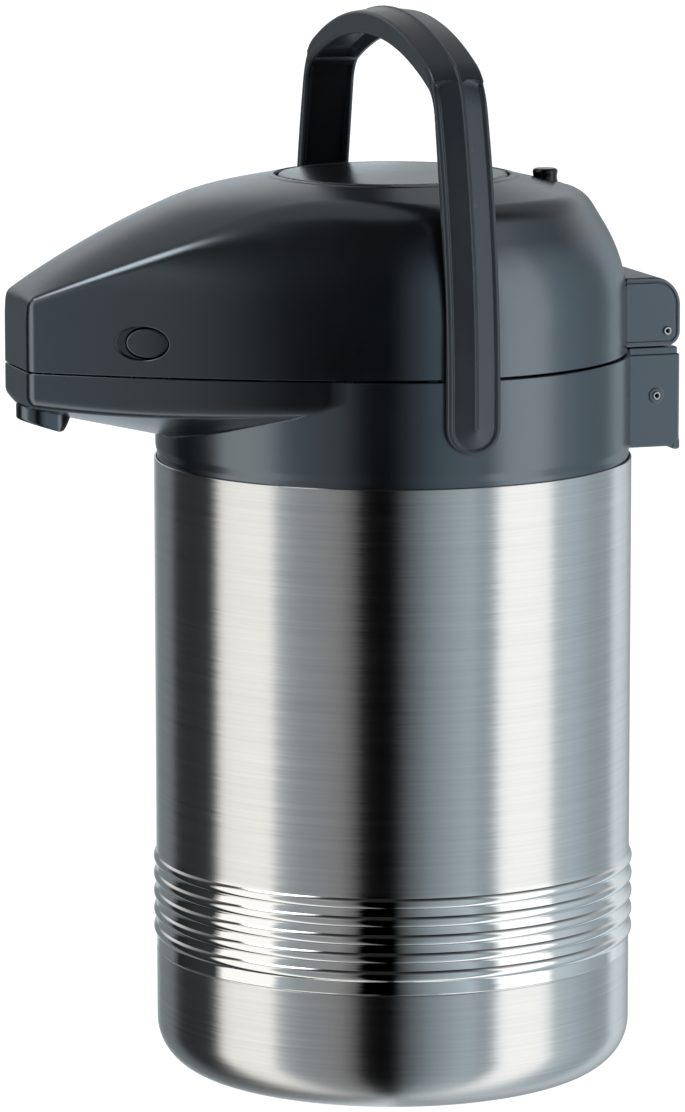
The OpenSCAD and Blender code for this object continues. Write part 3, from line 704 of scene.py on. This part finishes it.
BLOCK_TOP = high("lid_hinge_block")[2]
BLOCK_BACK = high("lid_hinge_block")[1]
BRACKET_BACK = high("hinge_bracket")[1]
BRACKET_LOW = low("hinge_bracket")[2]
TONGUE_HALF = 7.8
TONGUE_GAP = 0.3
HINGE_R = BLOCK_BACK - HINGE_Y
BLOCK_ROUND = 10.0
LIP_T = 2.4
LIP_H = 4.0
BOSS_R = 2.6


def block_side(y, z):
    """Side outline of the hinge block: its rear is round below, about the pin, and rounder above."""
    rear = meet(y - BLOCK_BACK, z - BLOCK_TOP, BLOCK_ROUND)
    return meet(rear, PARTING + PART_GAP - z, HINGE_R)


def hinge_block_field(x, y, z):
    """The block on the lid: a line round each side face, and room for the bracket's tongue."""
    side = block_side(y, z)
    body = meet(side, np.abs(x) - HINGE_HALF, 0.7)
    groove = np.hypot(side + 1.6, np.abs(x) - HINGE_HALF) - 0.32
    groove = np.maximum(groove, PARTING + 2 - z)
    body = cut(body, groove, 0.1)
    body = np.maximum(body, HEAD_R - np.hypot(x, y))
    room = np.abs(x) - TONGUE_HALF - TONGUE_GAP
    knuckle = np.maximum(rod(y, z, HINGE_Y, HINGE_Z, HINGE_R) - 0.6, room)
    pocket = np.maximum(np.maximum(room, HINGE_Y - HINGE_R - 2.5 - y), z - HINGE_Z)
    body = cut(cut(body, knuckle, 0.3), pocket, 0.3)
    return cut(body, rod(y, z, HINGE_Y, HINGE_Z, 1.3), 0.15)


def bracket_field(x, y, z):
    """The bracket on the collar: a stepped top, a lip at its foot, a boss and the tongue of the hinge."""
    r = np.hypot(x, y)
    top = PARTING - PART_GAP
    front = COLLAR_R + 0.05 - r
    side = np.abs(x) - HINGE_HALF
    body = meet(side, y - BRACKET_BACK, 0.8)
    body = meet(body, np.maximum(z - top + 2.4, BRACKET_LOW + 1.2 - z), 0.5)
    step = meet(side + 0.8, y - BRACKET_BACK + 0.6, 0.6)
    step = meet(step, np.maximum(z - top, top - 6 - z), 0.4)
    lip = np.maximum(side, slab(y, BRACKET_BACK - LIP_T, BRACKET_BACK))
    lip = meet(lip, slab(z, BRACKET_LOW, BRACKET_LOW + LIP_H), 0.9)
    body = join(join(body, step), lip)
    body = np.maximum(body, front)
    tongue = rod(y, z, HINGE_Y, HINGE_Z, HINGE_R) + 0.1
    neck = np.maximum(slab(y, HINGE_Y - HINGE_R + 0.1, HINGE_Y + HINGE_R - 1), slab(z, top - 1, HINGE_Z))
    tongue = np.maximum(join(tongue, neck), np.abs(x) - TONGUE_HALF)
    body = join(body, tongue)
    boss = meet(rod(y, z, LOW_PIN_Y, LOW_PIN_Z, BOSS_R), np.abs(x) - HINGE_HALF - 0.25, 0.2)
    body = join(body, boss, 0.2)
    for pin_y, pin_z in ((LOW_PIN_Y, LOW_PIN_Z), (HINGE_Y, HINGE_Z)):
        body = cut(body, rod(y, z, pin_y, pin_z, 1.25), 0.15)
    return body


def pin_field(x, y, z):
    """A hollow rivet along X at the origin, with a rolled head at each end."""
    r = np.hypot(y, z)
    reach = HINGE_HALF + 0.5
    tube = meet(r - 1.2, np.abs(x) - reach, 0.2)
    head = np.hypot(r - 1.05, np.abs(x) - reach + 0.1) - 0.42
    return cut(join(tube, head, 0.2), r - 0.62, 0.15)


def make_hinge():
    black = looks["hinge_plastic"]
    piece = moulded("hinge_block_cover", hinge_block_field, (-HINGE_HALF, HEAD_R - 3, PARTING),
                    (HINGE_HALF, BLOCK_BACK, BLOCK_TOP), 0.4)
    place_piece(piece, "lid_hinge_block", "lid", black)
    piece = moulded("hinge_bracket_cover", bracket_field, (-HINGE_HALF, COLLAR_R - 4, BRACKET_LOW),
                    (HINGE_HALF, BLOCK_BACK, HINGE_Z + HINGE_R), 0.4)
    place_piece(piece, "hinge_bracket", "jug", black)
    for name, pin_y, pin_z in (("bracket_pin", LOW_PIN_Y, LOW_PIN_Z), ("hinge_pin", HINGE_Y, HINGE_Z)):
        reach = HINGE_HALF + 1
        piece = moulded(name + "_rivet", pin_field, (-reach, -1.6, -1.6), (reach, 1.6, 1.6), 0.2)
        piece.data.transform(Matrix.Translation((0, pin_y * MM, pin_z * MM)))
        place_piece(piece, name, "jug", looks["pin_steel"])


# ---- Handle ----

# The raised line stands out this far over the skin
LINE_OUT = 0.55
RIDGE_X = HANDLE_X - LINE_OUT
# The arms and the grip are arcs, about middles far inside
ARM_R = 348.0
ARM_T = 6.8
BEND_Z = PIVOT_Z + 9
ARCH_R = 150.5
ARCH_Z = GRIP_TOP - LINE_OUT - ARCH_R
GRIP_T = 9.5
UNDER_R = 157.9
KNUCKLE_Z = GRIP_TOP - 18.5
# How steeply the facets fall away on each side of the middle line
ARM_FACET = 0.37
ARCH_FACET = 0.13
BEAD_R = 1.15
LINE_R = 0.45
CHANNEL_HALF = HANDLE_HALF - 2.2
CHANNEL_FLOOR = 4.4


def handle_parts(x, y, z):
    """Distances in the handle: across from its middle line, from the arm's centre, and to its outer skin."""
    ax = np.abs(x)
    width = np.hypot(y, np.minimum(z - PIVOT_Z, 0))
    swing = np.hypot(ax + ARM_R - RIDGE_X, np.maximum(z - BEND_Z, 0))
    arch = np.hypot(ax, z - ARCH_Z) - ARCH_R
    top = soft_meet(swing - ARM_R, arch, 7.0)
    return width, swing, top


def handle_field(x, y, z):
    """The bail handle, in one piece."""
    width, swing, top = handle_parts(x, y, z)
    # Two flat facets along each arm, which end in a round shoulder below the grip
    skin = (top + ARCH_FACET * width) / math.hypot(1, ARCH_FACET)
    facets = (top + ARM_FACET * width) / math.hypot(1, ARM_FACET)
    above = (z - KNUCKLE_Z + 0.03 * width ** 2) * 0.8
    outer = np.maximum(skin, -meet(-facets, above, 2.5))
    # A fine raised line runs along the middle
    line = np.hypot(width, outer) - LINE_R
    outer = join(outer, line, 0.3)
    # Inner side: clear of the lid below, then parallel to the arm, then the underside of the grip
    gap = COLLAR_R + 0.4 - 0.2 * np.maximum(z - PIVOT_Z - 42, 0) - np.abs(x)
    inner_arm = np.maximum(ARM_R - ARM_T - swing, gap)
    under = UNDER_R - np.hypot(x, z - (GRIP_TOP - GRIP_T - UNDER_R))
    inner = join(inner_arm, under, 4.0)
    body = meet(meet(outer, inner, 0.8), width - HANDLE_HALF, 1.2)
    rim = HANDLE_HALF - BEAD_R
    bead = np.hypot(top + ARM_FACET * rim + 0.2, width - rim) - BEAD_R
    bead = np.maximum(np.maximum(bead, inner), z - KNUCKLE_Z - 2)
    body = join(body, bead, 0.35)
    # Channels inside the arms, and a deeper one under the grip
    deep = meet(width - CHANNEL_HALF, top + CHANNEL_FLOOR, 0.8)
    arm_channel = np.maximum(deep, slab(z, BEND_Z, KNUCKLE_Z - 7))
    under_grip = meet(width - CHANNEL_HALF, top + 4.5, 2.5)
    grip_channel = np.maximum(under_grip, KNUCKLE_Z - 3.5 - z)
    return cut(cut(body, arm_channel, 0.5), grip_channel, 1.0)


def make_handle():
    rim = HANDLE_HALF - 1.2
    fine_y = [(middle - 1.5, middle + 1.5, 0.5) for middle in (-rim, 0, rim)]
    fine_z = [(KNUCKLE_Z - 7, KNUCKLE_Z + 4, 0.6)]
    piece = moulded("bail_handle", handle_field, (-HANDLE_X, -HANDLE_HALF, PIVOT_Z - HANDLE_HALF),
                    (HANDLE_X, HANDLE_HALF, GRIP_TOP), 0.6, ((), fine_y, fine_z))
    place_piece(piece, "handle", "handle", looks["handle_plastic"])
    # The channels get a darker, duller plastic: painted shade for the shadow inside them
    piece.data.materials.append(looks["channel_painted_shade"])
    centres = np.zeros(len(piece.data.polygons) * 3, np.float32)
    piece.data.polygons.foreach_get("center", centres)
    x, y, z = centres.reshape(-1, 3).T / MM
    width, _, top = handle_parts(x, y, z)
    inside = (top < 0.4 - CHANNEL_FLOOR) & (top > 0.4 - ARM_T) & (width < CHANNEL_HALF + 0.8)
    inside &= (z > BEND_Z - 1) & (z < KNUCKLE_Z - 5)
    piece.data.polygons.foreach_set("material_index", inside.astype(np.int32))


# ---- Buttons ----

def pump_field(x, y, z):
    """The pump's disc: domed on top, hollow below, with a post for the spring."""
    r = np.hypot(x, y)
    dome = PUMP_TOP - 1.6 * (r / PUMP_R) ** 2
    disc = meet(r - PUMP_R, z - dome, 1.1)
    disc = meet(disc, PUMP_LOW - z, 0.4)
    hollow = np.maximum(r - PUMP_R + 2.2, z - PUMP_TOP + 4.5)
    disc = cut(disc, hollow, 0.5)
    post = np.maximum(slab(r, 15, 18), slab(z, PARTING + 52, PUMP_TOP - 3))
    return join(disc, post, 0.6)


def lock_field(x, y, z):
    """The lock's round knob, with a faint waist, on its flat tongue."""
    waist = 0.25 * np.exp(-((z - LOCK_TOP + 2.8) / 1.2) ** 2)
    knob = meet(rod(x, y, 0, LOCK_Y, 4.4) + waist, z - LOCK_TOP, 1.1)
    knob = np.maximum(knob, LOCK_LOW + 2 - z)
    tongue = np.maximum(np.abs(x) - 6, slab(y, low("lock_slider")[1], 66))
    tongue = meet(tongue, slab(z, LOCK_LOW, LOCK_LOW + 3), 0.3)
    return join(knob, tongue, 0.4)


def release_field(x, y, z):
    """Both release buttons: an oval cap in the dish, and a flange and a stem behind the wall."""
    out, along = at_release(x, y)
    rise = z - RELEASE_Z
    face = out + 0.5 + 0.004 * (along * along + rise * rise)
    cap = meet(ellipse(along - RELEASE_BACK, rise, *CAP), face, 0.6)
    cap = np.maximum(cap, -7 - out)
    flange = np.maximum(stadium(along, rise, 19.5, 13), slab(out, -7, -5.5))
    stem = np.maximum(np.hypot(along, rise) - 1.8, slab(out, -9.5, -6))
    return join(join(cap, flange, 0.3), stem)


def make_buttons():
    black = looks["black_plastic"]
    piece = moulded("pump_disc", pump_field, (-PUMP_R, -PUMP_R, PUMP_LOW),
                    (PUMP_R, PUMP_R, PUMP_TOP), 0.8)
    place_piece(piece, "pump_button", "pump", black)
    piece = moulded("lock_knob", lock_field, low("lock_slider"), high("lock_slider"), 0.4)
    place_piece(piece, "lock_slider", "lock", looks["gloss_black"])
    for name in ("left", "right"):
        node = f"release_button_{name}"
        piece = moulded(f"release_cap_{name}", release_field, low(node), high(node), 0.3)
        place_piece(piece, node, f"release_{name}", black)


def release_place(points, side):
    """Places points given as (outwards, along, up) from a release button. side: -1 left, 1 right."""
    nx, ny = -RELEASE_AXIS.x, -RELEASE_AXIS.y
    x, y, z = points.T
    px = RELEASE_X + x * nx - y * ny
    py = RELEASE_Y + x * ny + y * nx
    return np.stack([side * px, py, RELEASE_Z + z], 1)


# ---- Casing, bellows and springs ----

RIB_COUNT = 5
RIB_PITCH = 6.25
RIB_LOW = 49.7
RIB_OUT = 1.0
RIB_ROUND = 2.2
RIB_SOFT = 0.12
CASING_T = 0.8
FOOT_R = 16.5
FOOT_HOLE_R = 62
# The line where the drawn can is rolled in, below the ribs
LINE_DEEP = 0.15
BELLOWS_R = 29.0
PLEATS = 6
PLEAT_DEEP = 4.0
BELLOWS_T = 1.2
PUMP_WIRE_R = 0.9
RELEASE_SPRING_L = 9.9
RELEASE_SPRING_FOOT = 16.95


def rib(z):
    """How far the casing stands out at height z."""
    nearest = RIB_LOW + RIB_PITCH * round(min(max((z - RIB_LOW) / RIB_PITCH, 0), RIB_COUNT - 1))
    away = abs(z - nearest)
    crest = math.sqrt(max(RIB_ROUND ** 2 - away ** 2, 0)) - RIB_ROUND + RIB_OUT
    return crest / 2 + math.hypot(crest / 2, RIB_SOFT) if away < RIB_PITCH / 2 else 0.0


def make_casing():
    base = low("outer_casing")[2]
    inner = BODY_R - CASING_T
    foot = BODY_R - FOOT_R
    profile = [(FOOT_HOLE_R, base + CASING_T), (FOOT_HOLE_R, base)]
    profile += arc(foot, base + FOOT_R, FOOT_R, -90, 0, 24)
    profile += [(BODY_R, BAND_LOW - 0.5), (BODY_R - LINE_DEEP, BAND_LOW - 0.25)]
    profile += [(BODY_R - LINE_DEEP, BAND_LOW), (BODY_R, BAND_LOW + 0.25)]
    ribs_top = RIB_LOW + RIB_PITCH * (RIB_COUNT - 0.5)
    rib_heights = np.linspace(RIB_LOW - RIB_PITCH / 2, ribs_top, 20 * RIB_COUNT + 1)
    profile += [(BODY_R + rib(z), z) for z in rib_heights]
    profile += [(BODY_R, CASING_TOP - 0.6)]
    profile += arc(BODY_R - 0.4, CASING_TOP - 0.4, 0.4, 0, 180, 6)
    profile += [(inner, base + FOOT_R)]
    profile += arc(foot, base + FOOT_R, FOOT_R - CASING_T, 0, -90, 16)
    piece = turned("casing_shell", profile)
    return place_piece(piece, "outer_casing", "jug", looks["brushed_steel"])


def make_bellows():
    """The pleated pump chamber, with round folds."""
    z0 = low("bellows")[2]
    z1 = high("bellows")[2]
    pitch = (z1 - z0 - 4) / PLEATS
    outside = []
    for h in np.linspace(0, PLEATS, PLEATS * 16 + 1):
        fold = PLEAT_DEEP * math.cos(2 * math.pi * h) * (1 - 0.12 * math.cos(4 * math.pi * h))
        outside.append((BELLOWS_R - fold, z0 + 2 + pitch * h))
    inside = [(r - BELLOWS_T, z) for r, z in reversed(outside)]
    profile = [(18, z0), (30, z0), (30, z0 + 1.6)] + outside
    profile += [(25, z1), (1, z1), (1, z1 - 2)] + inside + [(18, z0 + 2)]
    piece = turned("bellows_sleeve", profile, 96)
    place_piece(piece, "bellows", "lid", looks["rubber"])
    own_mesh(piece)


def make_springs():
    z0 = low("pump_spring")[2]
    length = high("pump_spring")[2] - z0
    piece = coil("pump_return_spring", 14, PUMP_WIRE_R, length, 8, lambda p: p + np.array([0, 0, z0]))
    place_piece(piece, "pump_spring", "lid", looks["pin_steel"])
    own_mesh(piece)
    for name, side in (("left", -1), ("right", 1)):
        def place(points):
            x, y, z = points.T
            return release_place(np.stack([z - RELEASE_SPRING_FOOT, x, y], 1), side)

        piece = coil(f"release_return_spring_{name}", 2.7, 0.35, RELEASE_SPRING_L, 6, place, 24, 8)
        place_piece(piece, f"release_spring_{name}", "lid", looks["pin_steel"])
        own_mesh(piece)


def dress_inner_nodes():
    """Gives every CAD node that stays the material of its slot."""
    slots = {part["node"]: part["material_slot"] for part in frame["record"]["subparts"]}
    for name, node in frame["nodes"].items():
        if node.hide_render:
            continue
        node.data.materials.clear()
        node.data.materials.append(looks[slots[name]])


# ---- Stage ----

# The camera's direction, distance, height in metres, downward tilt, lens and sideways shift
CAMERA_TURN = math.radians(71.5)
CAMERA_AWAY = 2.0404
CAMERA_HIGH = 0.5194
CAMERA_DOWN = 0.165
LENS = 193.17
SHIFT_X = -0.0451


def make_camera():
    data = bpy.data.cameras.new("camera")
    data.lens = LENS
    data.shift_x = SHIFT_X
    data.clip_start = 0.05
    camera = bpy.data.objects.new("camera", data)
    camera.location = (CAMERA_AWAY * math.sin(CAMERA_TURN), -CAMERA_AWAY * math.cos(CAMERA_TURN), CAMERA_HIGH)
    camera.rotation_euler = (math.pi / 2 - CAMERA_DOWN, 0, CAMERA_TURN)
    bpy.context.scene.collection.objects.link(camera)
    bpy.context.scene.camera = camera


# What stands round the object at eye level: (direction, brightness, tint). Directions are in degrees from the
# camera's side, positive to the right of the picture; brightness runs straight from one entry to the next.
PLAIN = (1.0, 1.0, 1.0)
WARM = (1.0, 0.99, 0.95)
BLUE = (0.9, 1.0, 1.05)
BLUER = (0.84, 1.0, 1.08)
STUDIO = (
    (-180, 1.04, BLUE),
    (-160, 0.25, BLUE),
    (-136, 0.2, BLUE),
    # Dark flag on the left
    (-128, 0.02, BLUE),
    (-97, 0.04, BLUE),
    # Large softbox on the left
    (-94, 0.4, PLAIN),
    (-91, 1.18, WARM),
    (-61, 1.18, WARM),
    (-57, 0.5, BLUE),
    (-48, 0.34, BLUE),
    (-26, 0.27, PLAIN),
    # Black flag round the camera
    (-18, 0.13, PLAIN),
    (-15, 0.0, PLAIN),
    (1, 0.0, PLAIN),
    (8, 0.13, BLUE),
    (20, 0.34, BLUER),
    (38, 0.56, BLUER),
    (44, 0.38, BLUER),
    (49, 0.38, BLUER),
    # Large softbox on the right
    (51, 0.7, BLUE),
    (54, 1.32, PLAIN),
    (81, 1.32, PLAIN),
    (85, 0.66, BLUE),
    (96, 0.6, BLUER),
    (114, 0.42, BLUER),
    (128, 0.4, BLUER),
    (136, 0.88, BLUE),
    (150, 0.72, BLUE),
    (166, 0.36, BLUE),
    (180, 0.56, BLUE),
)
# The brightness that 1 stands for in the colour ramps
BRIGHTEST = 2.0
# What is above eye level: (height, brightness behind the object, brightness on the camera's side). A height is
# the sine of the angle above the horizon.
CEILING = (
    (0.1, 0.85, 0.05),
    (0.3, 0.8, 0.04),
    (0.4, 0.55, 0.03),
    (0.48, 0.34, 0.03),
    (0.6, 0.28, 0.03),
    (0.85, 0.24, 0.02),
)
# Heights where the walls end and the ceiling starts: behind the object, and on the camera's side
EDGE_BACK = (0.1, 0.3)
EDGE_FRONT = (0.35, 0.95)
# Round softboxes: (direction, angle above the horizon, inner and outer radius, brightness), in degrees
SPOTS = (
    (-87, 57, 7, 16, 4.0),
    (-37, 28, 4, 13, 1.0),
)


def fill_ramp(ramp, entries):
    """Gives a colour ramp its stops: (place, colour), with colours up to BRIGHTEST."""
    stops = ramp.color_ramp.elements
    for place, colour in entries[1:-1]:
        stops.new(place)
    for stop, (place, colour) in zip(stops, entries):
        stop.position = place
        stop.color = (*(c / BRIGHTEST for c in colour), 1)


def make_studio():
    world = bpy.data.worlds.new("studio")
    bpy.context.scene.world = world
    world.use_nodes = True
    nodes, links = world.node_tree.nodes, world.node_tree.links
    nodes.clear()

    def add(kind, **settings):
        node = nodes.new(kind)
        for key, value in settings.items():
            setattr(node, key, value)
        return node

    def calc(operation, *values):
        node = add("ShaderNodeMath", operation=operation)
        for socket, value in zip(node.inputs, values):
            if isinstance(value, bpy.types.NodeSocket):
                links.new(value, socket)
            else:
                socket.default_value = value
        return node.outputs[0]

    direction = add("ShaderNodeTexCoord").outputs["Generated"]
    parts = add("ShaderNodeSeparateXYZ")
    links.new(direction, parts.inputs[0])
    across = add("ShaderNodeCombineXYZ")
    links.new(parts.outputs[0], across.inputs[0])
    links.new(parts.outputs[1], across.inputs[1])
    flat = add("ShaderNodeVectorMath", operation="NORMALIZE")
    links.new(across.outputs[0], flat.inputs[0])
    a = CAMERA_TURN - math.pi / 2
    ahead = add("ShaderNodeVectorMath", operation="DOT_PRODUCT")
    aside = add("ShaderNodeVectorMath", operation="DOT_PRODUCT")
    for node, axis in ((ahead, (math.cos(a), math.sin(a), 0)), (aside, (-math.sin(a), math.cos(a), 0))):
        links.new(flat.outputs[0], node.inputs[0])
        node.inputs[1].default_value = axis
    turn = calc("ARCTAN2", aside.outputs["Value"], ahead.outputs["Value"])
    ramp = add("ShaderNodeValToRGB")
    links.new(calc("MULTIPLY_ADD", turn, 0.5 / math.pi, 0.5), ramp.inputs[0])
    fill_ramp(ramp, [((d + 180) / 360, [brightness * c for c in tint]) for d, brightness, tint in STUDIO])
    # Overhead the room is dim, and dimmest on the camera's side
    back = add("ShaderNodeMapRange", interpolation_type="SMOOTHSTEP")
    links.new(calc("MULTIPLY", ahead.outputs["Value"], -1.0), back.inputs["Value"])
    back.inputs["From Max"].default_value = 0.8
    height = add("ShaderNodeValToRGB")
    links.new(parts.outputs[2], height.inputs[0])
    fill_ramp(height, [(z, (behind, front, 0)) for z, behind, front in CEILING])
    levels = add("ShaderNodeSeparateColor")
    links.new(height.outputs["Color"], levels.inputs[0])
    behind = calc("SUBTRACT", levels.outputs[0], levels.outputs[1])
    ceiling = calc("MULTIPLY", behind, back.outputs["Result"])
    ceiling = calc("MULTIPLY", calc("ADD", ceiling, levels.outputs[1]), BRIGHTEST)
    up = add("ShaderNodeMapRange", interpolation_type="SMOOTHSTEP")
    links.new(parts.outputs[2], up.inputs["Value"])
    for name, front_edge, back_edge in zip(("From Min", "From Max"), EDGE_FRONT, EDGE_BACK):
        edge = calc("MULTIPLY_ADD", back.outputs["Result"], back_edge - front_edge, front_edge)
        links.new(edge, up.inputs[name])
    for turn_deg, rise_deg, inner_deg, outer_deg, brightness in SPOTS:
        spot_turn = a + math.radians(turn_deg)
        rise = math.radians(rise_deg)
        axis = (math.cos(spot_turn) * math.cos(rise), math.sin(spot_turn) * math.cos(rise), math.sin(rise))
        toward = add("ShaderNodeVectorMath", operation="DOT_PRODUCT")
        links.new(direction, toward.inputs[0])
        toward.inputs[1].default_value = axis
        spot = add("ShaderNodeMapRange", interpolation_type="SMOOTHSTEP")
        links.new(toward.outputs["Value"], spot.inputs["Value"])
        spot.inputs["From Min"].default_value = math.cos(math.radians(outer_deg))
        spot.inputs["From Max"].default_value = math.cos(math.radians(inner_deg))
        spot.inputs["To Max"].default_value = brightness
        ceiling = calc("ADD", ceiling, spot.outputs["Result"])
    walls = add("ShaderNodeVectorMath", operation="SCALE")
    links.new(ramp.outputs["Color"], walls.inputs[0])
    walls.inputs["Scale"].default_value = BRIGHTEST
    both_parts = add("ShaderNodeMix", data_type="VECTOR")
    links.new(up.outputs["Result"], both_parts.inputs[0])
    links.new(walls.outputs[0], both_parts.inputs[4])
    links.new(ceiling, both_parts.inputs[5])
    seen = add("ShaderNodeLightPath").outputs["Is Camera Ray"]
    room = add("ShaderNodeBackground")
    links.new(both_parts.outputs[1], room.inputs["Color"])
    backdrop = add("ShaderNodeBackground")
    backdrop.inputs["Color"].default_value = (1, 1, 1, 1)
    both = add("ShaderNodeMixShader")
    links.new(seen, both.inputs[0])
    links.new(room.outputs[0], both.inputs[1])
    links.new(backdrop.outputs[0], both.inputs[2])
    links.new(both.outputs[0], add("ShaderNodeOutputWorld").inputs["Surface"])


def make_floor():
    size = 6.0
    points = np.array([(-1, -1, 0), (1, -1, 0), (1, 1, 0), (-1, 1, 0)]) * size / MM
    floor = add_mesh("floor", points, np.array([[0, 1, 2, 3]]))
    look = Look("pale_floor", Roughness=0.6, Emission_Strength=0.98)
    tone = look.spread(look.noise(3.0, 2.0), 0.97, 1.0)
    pale = look.add("ShaderNodeCombineColor", {0: tone, 1: tone, 2: tone}).outputs[0]
    look.set(look.surface, Base_Color=(0.25, 0.25, 0.25, 1), Emission_Color=pale)
    floor.data.materials.append(look.material)
    floor.visible_glossy = False


bpy.context.scene.view_settings.view_transform = "Standard"
make_camera()
make_studio()
make_floor()
make_casing()
make_collar()
make_nozzle()
make_hinge()
make_lid_cover()
make_handle()
make_buttons()
make_bellows()
make_springs()
dress_inner_nodes()
